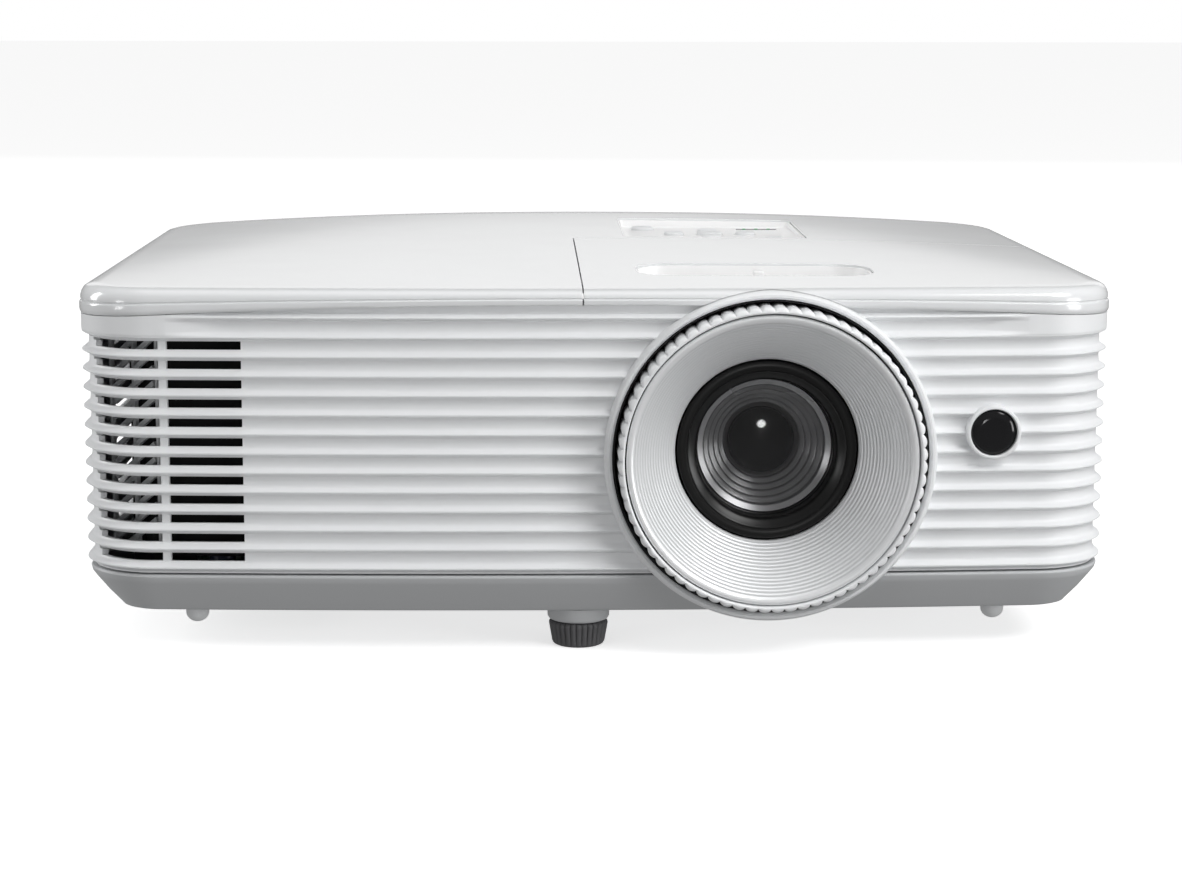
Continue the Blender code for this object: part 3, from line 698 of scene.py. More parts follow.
def waved(thing, centre, axis, count, depth, from_r, to_r, power=1.0, pitch=0.0):
    """Presses grooves into a turned piece: count of them round it, or a thread of a given pitch.

    The full depth is reached at radius to_r and none of it at from_r."""
    tree = NodePlan(
        f"{thing.name}_grooves",
        Count=count,
        Depth=depth * MM,
        From=from_r * MM,
        To=to_r * MM,
        Power=power,
    )
    x, y, z = tree.position()
    across, up, along = {"X": (y, z, x), "Y": (x, z, y), "Z": (x, y, z)}[axis]
    order = {"X": (1, 2), "Y": (0, 2), "Z": (0, 1)}[axis]
    a = across - centre[order[0]] * MM
    b = up - centre[order[1]] * MM
    r = (a * a + b * b).math("SQRT")
    angle = b.math("ARCTAN2", a)
    phase = angle * tree.size("Count") * 0.5
    if pitch:
        phase = phase + along * (math.pi / (pitch * MM))
    wave = phase.math("SINE").math("ABSOLUTE") ** tree.size("Power")
    share = ((r - tree.size("From")) / (tree.size("To") - tree.size("From"))).held()
    scale = 1.0 - (1.0 - wave) * share * tree.size("Depth") / r
    moved_a = a * scale + centre[order[0]] * MM
    moved_b = b * scale + centre[order[1]] * MM
    placed = {
        "X": (x, moved_a, moved_b), "Y": (moved_a, y, moved_b), "Z": (moved_a, moved_b, z)
    }[axis]
    moved = tree.add(
        "GeometryNodeSetPosition",
        None,
        {"Geometry": tree.geometry(), "Position": tree.point(*placed)},
    )
    tree.build(thing, moved, thing.data.materials[0])
    soften(thing, 60.0)
    return thing


# ---- Bottom case ------------------------------------------------------------------------
# A moulded white ABS tray, coloured light grey as painted shade for the skirt under the ribs: its
# skirt leans in under the ribs, and its floor carries air slots, screw recesses and three threaded
# inserts for a ceiling bracket. The walls clip onto its rim.

CASE_BOTTOM = 12.5
FLOOR_TOP = 14.7
LENS_ROOM_R = 50.5
CASE_SCREWS = ((-138.0, -60.0), (138.0, -60.0), (-138.0, 66.0), (138.0, 66.0))
BRACKET_INSERTS = ((-74.0, -40.0), (28.0, -40.0), (-30.0, 84.0))
FEET = {
    "front_foot": (-5.7, -93.0),
    "rear_foot_left": (-120.0, 92.0),
    "rear_foot_right": (120.0, 92.0),
}

# Painted shade: the tray is white plastic, and this light grey stands for the shade on the skirt that
# leans in under the ribs.
case_plastic = finish("case_plastic", (0.53, 0.54, 0.55), 0.5, grain=0.2, grain_size=0.0006)
bottom_shell = skin(
    "bottom_shell",
    [
        plan_ring(-11.4, CASE_BOTTOM),
        plan_ring(-10.4, CASE_BOTTOM + 0.3),
        plan_ring(-9.7, CASE_BOTTOM + 1.1),
        plan_ring(-6.0, 17.6),
        plan_ring(-2.2, 22.4),
        plan_ring(-1.3, 23.6),
        plan_ring(-0.9, 24.9),
        plan_ring(-1.2, SKIRT_TOP),
        plan_ring(-4.4, SKIRT_TOP),
        plan_ring(-4.2, 22.2),
        plan_ring(-11.4, FLOOR_TOP),
    ],
    case_plastic,
)
tools = [
    turned(
        "t",
        [(0, -130), (LENS_ROOM_R, -130), (LENS_ROOM_R, -95), (0, -95)],
        (LENS_X, 0, LENS_Z),
        "Y",
        case_plastic,
    )
]
FOOT_BORE = [(0, 5), (4.6, 5), (4.6, 13.0), (3.4, 13.4), (3.4, 20), (0, 20)]
SCREW_RECESS = [(0, 10), (4.2, 10), (3.8, 14.0), (0, 14.0)]
INSERT_BORE = [(0, 10), (3.2, 10), (3.2, 20), (0, 20)]
for places, bore, segments in (
    (FEET.values(), FOOT_BORE, 48),
    (CASE_SCREWS, SCREW_RECESS, 40),
    (BRACKET_INSERTS, INSERT_BORE, 40),
):
    for x, y in places:
        tools.append(turned("t", bore, (x, y, 0), "Z", case_plastic, segments))
tools.append(boxes("t", *[((-122, y, 10), (-84, y + 2.2, 20)) for y in range(-70, -14, 5)]))
tools.append(boxes("t", *[((84, y, 10), (122, y + 2.2, 20)) for y in range(-20, 36, 5)]))
cut_away(bottom_shell, *tools)
belongs(bottom_shell, "case", "bottom_case")

# ---- Case screws and inserts ------------------------------------------------------------
# Black oxide cross-head screws sit in round recesses under the tray. The M4 inserts for the
# bracket are turned brass, pressed into the floor.

black_screw = finish("black_screw", (0.03, 0.03, 0.032), 0.38, metallic=0.9, mottle=0.2)
brass = finish("brass", (0.72, 0.53, 0.25), 0.32, metallic=1.0, mottle=0.1)


def screw_head(name, r, depth, material):
    """A pan head that faces down, with a cross pressed into it. Its rim is at the origin."""
    head = turned(
        name,
        [
            (0, -depth), (r * 0.6, -depth * 0.92), (r * 0.92, -depth * 0.5), (r, 0), (r, 0.6),
            (0, 0.6),
        ],
        (0, 0, 0),
        "Z",
        material,
        40,
    )
    w = r * 0.13
    arm = r * 0.55
    cut_away(
        head,
        boxes("t", ((-arm, -w, -2 * depth), (arm, w, -depth * 0.3))),
        boxes("t", ((-w, -arm, -2 * depth), (w, arm, -depth * 0.3))),
    )
    return head


for number, (x, y) in enumerate(CASE_SCREWS):
    item = screw_head("item", 3.0, 1.0, black_screw)
    screw = repeated(f"case_screw_{number}", item, 1, black_screw, (x, y, 13.9))
    belongs(screw, "case", None)
for number, (x, y) in enumerate(BRACKET_INSERTS):
    insert = turned(
        f"bracket_insert_{number}",
        [(2.0, 12.7), (2.9, 12.7), (3.1, 12.9), (3.1, 20.5), (2.0, 20.5)],
        (x, y, 0),
        "Z",
        brass,
        48,
    )
    belongs(insert, "case", None)

# ---- Rear panel -------------------------------------------------------------------------
# One flat white ABS moulding across the back, slotted for air, with the sockets' mouths and a
# lock slot. Three screws hold it.

SOCKETS = {
    "power_inlet": ((-113.0, 98.0, 32.0), (-83.0, 119.8, 54.6), 2.2),
    "hdmi_socket_1": ((-62.0, 104.0, 34.0), (-46.0, 119.8, 41.0), 0.9),
    "hdmi_socket_2": ((-36.0, 104.0, 34.0), (-20.0, 119.8, 41.0), 0.9),
    "usb_socket": ((-10.0, 104.0, 34.0), (4.6, 119.8, 41.4), 0.9),
}
REAR_FACE = REAR_Y - FLUTE_DEPTH


def flat_edge(x):
    return part_line(x) - 0.3


def plan_wall(name, first, last, profile, material):
    """A wall along the plan with a closed section of (distance out, height)."""
    rings = []
    for i in range(first, last + 1):
        at = PLAN[i % COUNT]
        out = OUT[i % COUNT]
        rings.append([(*(at + out * d), h(at[0]) if callable(h) else h) for d, h in profile])
    return skin(name, rings, material)


rear_wall = plan_wall(
    "rear_wall",
    REAR_SEAM,
    COUNT - REAR_SEAM,
    [
        (-2.5, 25.9),
        (-2.2, 26.2),
        (-2.2, lambda x: flat_edge(x) - 0.3),
        (-2.5, flat_edge),
        (-4.4, flat_edge),
        (-4.4, 25.9),
    ],
    white_plastic,
)
tools = []
for low, high, _ in SOCKETS.values():
    tools.append(
        boxes("t", ((low[0] - 0.3, 110, low[2] - 0.3), (high[0] + 0.3, 130, high[2] + 0.3)))
    )
tools.append(
    boxes(
        "t",
        *[((x, 110, z), (x + 30, 130, z + 2.4)) for x in (20, 56, 92) for z in range(44, 96, 6)],
    )
)
tools.append(
    boxes(
        "t",
        *[((x, 110, z), (x + 44, 130, z + 2.4)) for x in (-126, -76, -26) for z in range(66, 96, 6)],
    )
)
tools.append(boxes("t", ((112, 110, 31.0), (119, 130, 34.0))))
cut_away(rear_wall, *tools)
bevel(rear_wall, 0.25)
belongs(rear_wall, "case", "rear_panel")

panel_screws = screw_head("item", 2.6, 0.9, black_screw)
panel_screws.data.transform(Matrix.Rotation(math.radians(90), 4, "X"))
panel_screws = repeated(
    "rear_panel_screws", panel_screws, 3, black_screw, (-130, REAR_FACE + 0.05, 60), (130, 0, 0)
)
belongs(panel_screws, "case", None)

# ---- Sockets ----------------------------------------------------------------------------
# A three-pin mains inlet in black thermoplastic, two video sockets and a data socket in
# folded steel. Each is soldered to its board and looks out through the rear panel.

inlet_plastic = finish(
    "inlet_plastic", (0.022, 0.022, 0.024), 0.45, grain=0.25, grain_size=0.0004, mottle=0.15
)
socket_steel = finish(
    "socket_steel",
    (0.66, 0.66, 0.67),
    0.3,
    metallic=1.0,
    grain=0.08,
    grain_size=0.0003,
    mottle=0.08,
)
gilt = finish("gilt", (0.83, 0.62, 0.28), 0.25, metallic=1.0, mottle=0.08)
for name, (low, high, wall) in SOCKETS.items():
    mains = name == "power_inlet"
    chamfer = 5.0 if mains else 1.8
    top = high[2]

    def outline(inset, y):
        x0, x1, z0, z1 = low[0] + inset, high[0] - inset, low[2] + inset, top - inset
        c = max(0.4, chamfer - inset * 0.4)
        if mains:
            corners = [(x0, z0), (x1, z0), (x1, z1 - c), (x1 - c, z1), (x0 + c, z1), (x0, z1 - c)]
        else:
            corners = [(x0 + c, z0), (x1 - c, z0), (x1, z0 + c), (x1, z1), (x0, z1), (x0, z0 + c)]
        return [(x, y, z) for x, z in corners]

    shell = skin(
        f"{name}_shell",
        [
            outline(0, low[1]),
            outline(0, high[1] - 0.3),
            outline(0.3, high[1]),
            outline(wall, high[1]),
            outline(wall, low[1] + wall),
        ],
        inlet_plastic if mains else socket_steel,
    )
    belongs(shell, "case", name)
    middle_x = (low[0] + high[0]) / 2
    middle_z = (low[2] + high[2]) / 2
    if mains:
        pins = [
            (
                (middle_x + dx - 1.0, 100.0, middle_z + dz - 2.0),
                (middle_x + dx + 1.0, 115.5, middle_z + dz + 2.0),
            )
            for dx, dz in ((-7.0, -1.5), (0.0, 2.5), (7.0, -1.5))
        ]
        contacts = bevel(boxes("power_inlet_pins", *pins, material=socket_steel), 0.3)
    else:
        tongue = ((low[0] + 2.6, 104.9, middle_z - 0.5), (high[0] - 2.6, 117.4, middle_z + 0.7))
        contacts = bevel(boxes(f"{name}_tongue", tongue, material=inlet_plastic), 0.2)
        pad = boxes("item", ((-0.25, -5.0, 0), (0.25, 0, 0.12)))
        count = 4 if name == "usb_socket" else 9
        pitch = (high[0] - low[0] - 7.0) / (count - 1)
        pads = repeated(
            f"{name}_contacts",
            pad,
            count,
            gilt,
            (low[0] + 3.5, 117.0, middle_z + 0.7),
            (pitch, 0, 0),
        )
        belongs(pads, "case", None)
    belongs(contacts, "case", None)

# ---- Top cover and lamp lid -------------------------------------------------------------
# The crowned top is high-gloss white ABS. The fixed cover clips to the walls; the lid over the
# lamp and the zoom lever unhooks and lifts off. Both have a rolled edge over a narrow lip.

TOP_FRONT_Z = 112.6
TOP_SIDE_Z = 112.8
COVER_SEAM_X = -4.8
COVER_SEAM_Y = 22.0
COVER_WALL = 2.2
ZOOM_SLOT = (13.0, 88.0, -80.0, -50.0)
KEYPAD = (13.0, 78.0, 27.0, 91.0)


def top_z(x, y):
    back = (y - FRONT_Y) / (REAR_Y - FRONT_Y)
    ridge = TOP_FRONT_Z + 7.4 * back - 1.9 * back * back
    return ridge - (ridge - TOP_SIDE_Z) * min(1.0, abs(x) / HALF_WIDTH) ** 2.2


def edge_height(share, drop=0.0):
    """A height on the rolled edge: a share of the way from the parting line up to the top."""
    return lambda x, y: part_line(x) + (top_z(x, y) - part_line(x)) * share - drop


def shrunk(factor, drop):
    middle = 4.0
    base = PLAN - OUT * 6.5
    ring = []
    for x, y in base:
        px = x * factor
        py = (y - middle) * factor + middle
        ring.append((px, py, top_z(px, py) - drop))
    return ring


# Distance out from the plan and share of the way up, from the inner foot over the lip to the top.
ROLLED_EDGE = [(-4.4, 0.0), (-0.1, 0.0), (0.3, 0.07), (0.4, 0.16), (0.4, 0.34), (0.2, 0.39)]
ROLLED_EDGE += [(-0.15, 0.41), (-0.15, 0.46), (0.05, 0.49), (0.0, 0.60), (-0.4, 0.74)]
ROLLED_EDGE += [(-1.2, 0.87), (-2.4, 0.95), (-4.2, 0.992), (-6.5, 1.0)]


def top_shell(name):
    factors = [0.94 - 0.075 * k for k in range(12)] + [0.06]
    rings = [shrunk(f, COVER_WALL) for f in reversed(factors)]
    rings.append(plan_ring(-6.4, edge_height(1.0, COVER_WALL)))
    rings += [plan_ring(distance, edge_height(share)) for distance, share in ROLLED_EDGE]
    rings += [shrunk(f, 0.0) for f in factors]
    return skin(name, rings, gloss_plastic, angle=38.0)


def rounded(corners, radius, steps=10):
    """A closed outline with its corners rounded, from corners in counter-clockwise order."""
    outline = []
    for i, corner in enumerate(corners):
        here = Vector(corner)
        before = (Vector(corners[i - 1]) - here).normalized()
        after = (Vector(corners[(i + 1) % len(corners)]) - here).normalized()
        half_angle = before.angle(after) / 2
        centre = here + (before + after).normalized() * radius / math.sin(half_angle)
        start = here + before * radius / math.tan(half_angle) - centre
        end = here + after * radius / math.tan(half_angle) - centre
        for k in range(steps + 1):
            outline.append(tuple(centre + start.slerp(end, k / steps) * radius))
    return outline


def slot_outline(box_2d, grow, radius):
    left, right, near, far = box_2d
    corners = [
        (left - grow, near - grow), (right + grow, near - grow), (right + grow, far + grow),
        (left - grow, far + grow),
    ]
    return rounded(corners, radius + grow)


def prism(name, outline, bottom, top, material):
    """An outline in plan pushed up from one height to another."""
    rings = [[(x, y, bottom) for x, y in outline], [(x, y, top) for x, y in outline]]
    return skin(name, rings, material)


gloss_plastic = finish(
    "gloss_plastic", (0.80, 0.81, 0.82), 0.2, coat=0.5, grain=0.03, grain_size=0.002, mottle=0.012
)
SLOT_RADIUS = 11.0
KEYPAD_RADIUS = 2.5
seam_x = COVER_SEAM_X
seam_y = COVER_SEAM_Y
fixed_cover = top_shell("fixed_cover")
cut_away(
    fixed_cover,
    boxes("t", ((seam_x - 0.2, -130, 95), (170, seam_y + 0.2, 130))),
    prism("t", slot_outline(KEYPAD, 0.0, KEYPAD_RADIUS), 100, 125, gloss_plastic),
)
lamp_lid_shell = top_shell("lamp_lid_shell")
cut_away(
    lamp_lid_shell,
    boxes("t", ((-170, -130, 90), (seam_x + 0.2, 130, 130))),
    boxes("t", ((seam_x - 0.5, seam_y - 0.2, 90), (170, 130, 130))),
    turned(
        "t",
        [(0, -130), (LENS_ROOM_R, -130), (LENS_ROOM_R, -95.5), (0, -95.5)],
        (LENS_X, 0, LENS_Z),
        "Y",
        gloss_plastic,
    ),
    prism("t", slot_outline(ZOOM_SLOT, 0.0, SLOT_RADIUS), 100, 125, gloss_plastic),
)
for shell in (fixed_cover, lamp_lid_shell):
    bevel(shell, 0.3, 2, 60.0)
belongs(fixed_cover, "case", "top_cover")
belongs(lamp_lid_shell, "lamp_lid", "lamp_cover")

# ---- Zoom pocket ------------------------------------------------------------------------
# A satin white well under the lid's slot. The zoom lever comes up through a slit in its floor.

panel_white = finish(
    "panel_white", (0.93, 0.93, 0.93), 0.35, coat=0.2, grain=0.02, grain_size=0.0004, mottle=0.005
)
pocket_rings = []
for inset, z in (
    (2.4, 104.2), (0.5, 104.2), (0.2, 104.6), (0.2, 109.4), (-2.9, 109.4), (-2.9, 110.7),
    (0.15, 110.7),
):
    pocket_rings.append([(x, y, z) for x, y in slot_outline(ZOOM_SLOT, -inset, SLOT_RADIUS)])
for inset in (0.15, 1.0):
    pocket_rings.append(
        [(x, y, top_z(x, y) - 0.7) for x, y in slot_outline(ZOOM_SLOT, -inset, SLOT_RADIUS)]
    )
for inset, z in ((1.3, 110.2), (1.9, 107.6), (2.8, 106.3), (4.3, 105.7), (6.4, 105.6)):
    pocket_rings.append([(x, y, z) for x, y in slot_outline(ZOOM_SLOT, -inset, SLOT_RADIUS)])
pocket = skin("pocket", pocket_rings, panel_white)
slit = prism("t", slot_outline((22.0, 82.0, -67.4, -62.6), 0.0, 2.3), 100, 108, white_plastic)
cut_away(pocket, slit)
belongs(pocket, "lamp_lid", "zoom_pocket")

# ---- Keypad -----------------------------------------------------------------------------
# A bright white panel let into the cover, round satin keys that spring back, and a row of
# three small status lights. The keys press onto a board underneath.

KEYPAD_Z = 114.2
BUTTONS = {
    "power": (22.0, 80.0, 4.2),
    "menu": (24.0, 38.0, 3.4),
    "source": (67.0, 38.0, 3.4),
    "enter": (45.5, 59.0, 4.6),
    "up": (45.5, 71.0, 3.6),
    "down": (45.5, 47.0, 3.6),
    "left": (32.5, 59.0, 3.6),
    "right": (58.5, 59.0, 3.6),
}
LIGHTS = ((57.0, 79.0), (72.0, 82.0))

key_plastic = finish("key_plastic", (0.78, 0.79, 0.8), 0.45, grain=0.1, grain_size=0.0003)
panel_rings = []
for grow, z in ((2.5, 111.0), (2.5, 112.2), (-0.15, 112.2)):
    panel_rings.append([(x, y, z) for x, y in slot_outline(KEYPAD, grow, KEYPAD_RADIUS)])
for grow in (-0.15, -0.9):
    panel_rings.append(
        [(x, y, top_z(x, y) - 0.6) for x, y in slot_outline(KEYPAD, grow, KEYPAD_RADIUS)]
    )
for grow, z in ((-1.1, KEYPAD_Z + 0.2), (-1.5, KEYPAD_Z)):
    panel_rings.append([(x, y, z) for x, y in slot_outline(KEYPAD, grow, KEYPAD_RADIUS)])
keypad = skin("keypad", panel_rings, panel_white)
tools = [
    turned(
        "t", [(0, 105), (r + 0.3, 105), (r + 0.3, 120), (0, 120)], (x, y, 0), "Z", panel_white, 64
    )
    for x, y, r in BUTTONS.values()
]
tools.append(
    boxes(
        "t",
        (
            (LIGHTS[0][0] - 0.2, LIGHTS[0][1] - 0.2, 105),
            (LIGHTS[1][0] + 0.2, LIGHTS[1][1] + 0.2, 120),
        ),
    )
)
cut_away(keypad, *tools)
belongs(keypad, "case", "keypad_panel")
for label, (x, y, r) in BUTTONS.items():
    profile = [
        (0, 108.0), (r + 1.0, 108.0), (r + 1.0, 109.6), (r, 109.6), (r, 114.6), (r - 0.25, 115.1),
        (r - 0.8, 115.3),
    ]
    key = turned(
        f"key_cap_{label}",
        [*profile, (r * 0.5, 115.1), (0, 115.0)],
        (x, y, 0),
        "Z",
        key_plastic,
        64,
        50.0,
    )
    belongs(key, f"key_{label}", f"button_{label}")
smoked = finish(
    "smoked_window", (0.008, 0.008, 0.009), 0.12, mottle=0.05, **{"Specular IOR Level": 0.35}
)
lamp_green = finish("light_green", (0.1, 0.55, 0.2), 0.3, coat=0.6, mottle=0.05)
bar_span = ((57.1, 79.1, 109.0), (71.9, 81.9, 114.3))
light_bar = bevel(boxes("light_bar", bar_span, material=smoked), 0.2)
belongs(light_bar, "case", "status_lights")
dot = turned("item", [(0, 0), (0.75, 0), (0.6, 0.22), (0, 0.3)], (0, 0, 0), "Z", lamp_green, 24)
dots = repeated("light_dots", dot, 3, lamp_green, (60.0, 80.5, 114.25), (4.5, 0, 0))
belongs(dots, "case", None)

# ---- Lens well --------------------------------------------------------------------------
# A white ring round the lens, moulded with the tube that it stands on. It meets the ribs all
# the way round and drops below the skirt.

LENS_BODY = "front_lens_group"
well_profile = [(WELL_R, -96.0), (WELL_R, -114.2), (48.1, -115.2), (48.7, -115.9), (49.4, -115.9)]
well_profile += [(50.0, -115.2), (50.35, -113.8), (50.35, -110.5), (50.2, -109.5), (50.2, -96.0)]
lens_well = turned("lens_well", well_profile, LENS, "Y", white_plastic, 256)
belongs(lens_well, "case", "lens_surround")
# Painted shade: the black liner in the well's bore and the black ring behind the dish darken the gap
# round the focus ring.
well_black = finish(
    "well_black", (0.012, 0.012, 0.013), 0.6, grain=0.2, grain_size=0.0005, mottle=0.1
)
well_liner = turned(
    "well_liner",
    [(47.2, -96.0), (47.85, -96.0), (47.85, -113.6), (47.5, -113.9), (47.2, -113.6)],
    LENS,
    "Y",
    well_black,
    192,
)
belongs(well_liner, "case", None)
well_back = turned(
    "well_back",
    [(33.0, -96.2), (47.85, -96.2), (47.85, -94.4), (33.0, -94.4)],
    LENS,
    "Y",
    well_black,
    128,
)
belongs(well_back, "case", None)

# ---- Focus ring -------------------------------------------------------------------------
# A white moulded ABS ring with rounded grips all round. It turns in the well on the lens tube's
# thread.

FOCUS_R = 46.4
GRIPS = 72
ring_plastic = finish("ring_plastic", (0.86, 0.87, 0.88), 0.38, grain=0.08, grain_size=0.0005)
ring_profile = [(44.4, -105.0), (44.4, -121.6), (44.6, -122.0), (44.9, -122.1)]
ring_profile += [
    (44.9 + 1.5 * math.sin(math.radians(a)), -120.6 - 1.5 * math.cos(math.radians(a)))
    for a in range(10, 91, 10)
]
ring_profile += [(FOCUS_R, y) for y in (-119.6, -118.6, -117.6, -116.6, -115.0, -112.0, -109.0)]
ring_profile += [(FOCUS_R, -107.2), (45.9, -106.6), (45.9, -105.0)]
grip_ring = turned("grip_ring", ring_profile, LENS, "Y", ring_plastic, GRIPS * 14)
waved(grip_ring, LENS, "Y", GRIPS, 1.0, 44.9, 46.1, 0.55)
belongs(grip_ring, "focus_group", "focus_ring")

# ---- Dish -------------------------------------------------------------------------------
# Spun satin aluminium with turned rings, so that light fans out across it. It is pressed into
# the focus ring and turns with it.

DISH_GROOVES = 16
dish_metal, board, shader = principled("dish_metal")
parts = board.node("ShaderNodeSeparateXYZ", None, {0: board.add("ShaderNodeTexCoord", output=3)})
across = Wire(board, parts.outputs[0]) - LENS_X * MM
up = Wire(board, parts.outputs[2]) - LENS_Z * MM
radius = (across * across + up * up).math("SQRT")
rings_at = board.add("ShaderNodeCombineXYZ", None, {0: radius})
streak = board.add(
    "ShaderNodeTexNoise",
    {"noise_dimensions": "3D"},
    {"Vector": rings_at, "Scale": 2600.0, "Detail": 2.0},
)
shade = board.node(
    "ShaderNodeMix",
    {"data_type": "RGBA"},
    {"Factor": streak, 6: (0.80, 0.81, 0.82, 1.0), 7: (0.95, 0.96, 0.97, 1.0)},
)
board.set(shader.inputs["Base Color"], Wire(board, shade.outputs[2]))
board.set(shader.inputs["Roughness"], streak * 0.14 + 0.33)
shader.inputs["Metallic"].default_value = 0.45
bump = board.add("ShaderNodeBump", None, {"Height": streak, "Strength": 0.25, "Distance": 0.00008})
board.set(shader.inputs["Normal"], bump)
dish_profile = [
    (42.2, -121.2), (43.6, -121.25), (43.9, -121.0), (43.9, -119.2), (42.6, -117.4), (29.6, -99.0),
    (28.2, -99.0), (28.2, -101.0),
]
for k in range(DISH_GROOVES):
    for part, lift in ((0.0, 0.0), (0.35, 0.22), (0.6, 0.24), (0.92, 0.0)):
        t = (k + part) / DISH_GROOVES
        dish_profile.append((28.5 + (42.0 - 28.5) * t, -101.3 + (-120.9 + 101.3) * t - lift))
spun_dish = turned("spun_dish", dish_profile, LENS, "Y", dish_metal, 192, 70.0)
belongs(spun_dish, "focus_group", "focus_dish")

# ---- Front lens barrel and glass --------------------------------------------------------
# A black anodised barrel with a stepped metal cell screwed into it, and two coated glass
# elements. It slides in and out as the focus ring turns.

barrel_black = finish(
    "barrel_black", (0.006, 0.006, 0.006), 0.3, mottle=0.15, **{"Specular IOR Level": 0.3}
)
barrel_profile = [(27.6, -76.0), (27.6, -100.5), (27.4, -101.0), (26.9, -101.2), (25.2, -101.2)]
barrel_profile += [(24.7, -101.0), (24.3, -100.3), (23.9, -100.1), (22.3, -99.2), (21.8, -98.7)]
barrel_profile += [(21.5, -97.6), (21.5, -92.0), (21.2, -91.8), (21.2, -76.0)]
barrel = turned("barrel", barrel_profile, LENS, "Y", barrel_black, 192)
belongs(barrel, LENS_BODY, "front_barrel")
cell_metal = finish("cell_metal", (0.50, 0.50, 0.51), 0.28, metallic=0.6, mottle=0.1)
cell_profile = [(21.1, -78.0), (21.1, -91.6), (20.7, -92.1), (18.9, -91.0)]
CELL_STEPS = 5
for k in range(CELL_STEPS):
    r = 18.7 - 1.7 * k
    y = -90.4 + 2.2 * k
    cell_profile += [(r, y), (r - 0.15, y + 1.3), (r - 0.5, y + 1.5), (r - 1.4, y + 1.9)]
cell_profile += [(10.4, -79.2), (10.4, -78.0)]
cell = turned("lens_cell", cell_profile, LENS, "Y", cell_metal, 160, 20.0)
belongs(cell, LENS_BODY, None)
front_glass = finish("front_glass", (0.01, 0.01, 0.012), 0.06, mottle=0.06, Alpha=0.3, IOR=1.9)
FRONT_GLASS_R = 21.0
edge_sine = math.sin(math.radians(42))
glass_profile = [(0, -95.6)]
for a in range(6, 43, 6):
    a = math.radians(a)
    glass_profile.append(
        (FRONT_GLASS_R * math.sin(a) / edge_sine, -95.6 + 6.0 * (1 - math.cos(a)) * 2.3)
    )
glass_profile += [(FRONT_GLASS_R, -91.2), (0, -90.4)]
front_lens = turned("front_lens", glass_profile, LENS, "Y", front_glass, 128, 30.0)
belongs(front_lens, LENS_BODY, "front_element")
deep_glass = finish(
    "deep_glass", (0.008, 0.008, 0.009), 0.3, mottle=0.2, **{"Specular IOR Level": 0.35}
)
DEEP_GLASS_R = 10.2
edge_sine = math.sin(math.radians(48))
glass_profile = [(0, -84.6)]
for a in range(4, 49, 4):
    a = math.radians(a)
    glass_profile.append((DEEP_GLASS_R * math.sin(a) / edge_sine, -84.6 + 9.0 * (1 - math.cos(a))))
glass_profile += [(DEEP_GLASS_R, -79.0), (0, -79.0)]
deep_lens = turned("deep_lens", glass_profile, LENS, "Y", deep_glass, 96, 40.0)
belongs(deep_lens, LENS_BODY, None)

# ---- Lens tube and zoom group -----------------------------------------------------------
# The black tube behind the dish, the zoom ring that turns on it with its lever, and the zoom
# group that slides inside.

dress(barrel_black, "lens_barrel", "zoom_barrel")
dress(deep_glass, "zoom_element")
BAND_R = 37.5
BAND_GRIPS = 96
band_profile = [(32.9, -72.0), (37.0, -72.0)]
band_profile += [(BAND_R, y) for y in (-71.5, -70.0, -68.0, -65.0, -62.0, -58.5)]
band_profile += [(37.0, -58.0), (32.9, -58.0)]
zoom_band = turned("zoom_band", band_profile, LENS, "Y", barrel_black, BAND_GRIPS * 6)
waved(zoom_band, LENS, "Y", BAND_GRIPS, 0.5, 36.6, 37.4, 0.7)
belongs(zoom_band, "zoom_ring_body", "zoom_ring")
lever_span = ((LENS_X - 1.8, -66.8, LENS_Z + 35.0), (LENS_X + 1.8, -63.2, 113.6))
lever = bevel(boxes("zoom_lever", lever_span, material=panel_white), 0.7, 3)
belongs(lever, "zoom_ring_body", None)

# ---- Receiver window --------------------------------------------------------------------
# A black infrared-clear acrylic disc in a thin white ABS bezel. Both are pressed into a hole in
# the front wall.

bezel = turned(
    "bezel",
    [(7.1, -105.0), (7.1, -112.2), (7.4, -112.6), (7.9, -112.5), (8.3, -112.0), (8.3, -105.0)],
    IR,
    "Y",
    white_plastic,
    96,
)
belongs(bezel, "case", "ir_bezel")
window = turned(
    "window",
    [(0, -105.5), (6.9, -105.5), (6.9, -111.2), (6.5, -111.7), (4.0, -111.9), (0, -112.0)],
    IR,
    "Y",
    smoked,
    96,
    50.0,
)
belongs(window, "case", "ir_window")

# ---- Corner lattice ---------------------------------------------------------------------
# Slanted light-grey ABS fins in a frame stand behind the corner vents and keep fingers out. A black
# sheet behind them is painted shade: it stands for the dark inside of the case.

LATTICE_START = Vector((-150.8, -82.5, 0.0))
LATTICE_RUN = Vector((22.0, -19.0, 0.0)).normalized()
LATTICE_BARS = 14
lattice_grey = finish("lattice_grey", (0.62, 0.63, 0.64), 0.5, grain=0.1, grain_size=0.0005)
turn_to_run = Matrix.Translation(LATTICE_START * MM) @ Matrix.Rotation(
    math.atan2(LATTICE_RUN.y, LATTICE_RUN.x), 4, "Z"
)
bar = boxes("item", ((-11.0, 0.1, -0.75), (11.0, 1.3, 0.75)))
bar.data.transform(Matrix.Rotation(math.radians(-34), 4, "Y"))
bars = repeated("lattice_bars", bar, LATTICE_BARS, lattice_grey, (11.0, 0.0, 34.0), (0, 0, 4.7))
cut_away(
    bars, boxes("t", ((-20, -5, 20), (0.8, 5, 110))), boxes("t", ((21.2, -5, 20), (40, 5, 110)))
)
cut_away(
    bars, boxes("t", ((-20, -5, 10), (40, 5, 30.8))), boxes("t", ((-20, -5, 97.2), (40, 5, 120)))
)
bars.data.transform(turn_to_run)
lattice = boxes("lattice", ((0, 0, 30), (22, 1.6, 98)), material=lattice_grey)
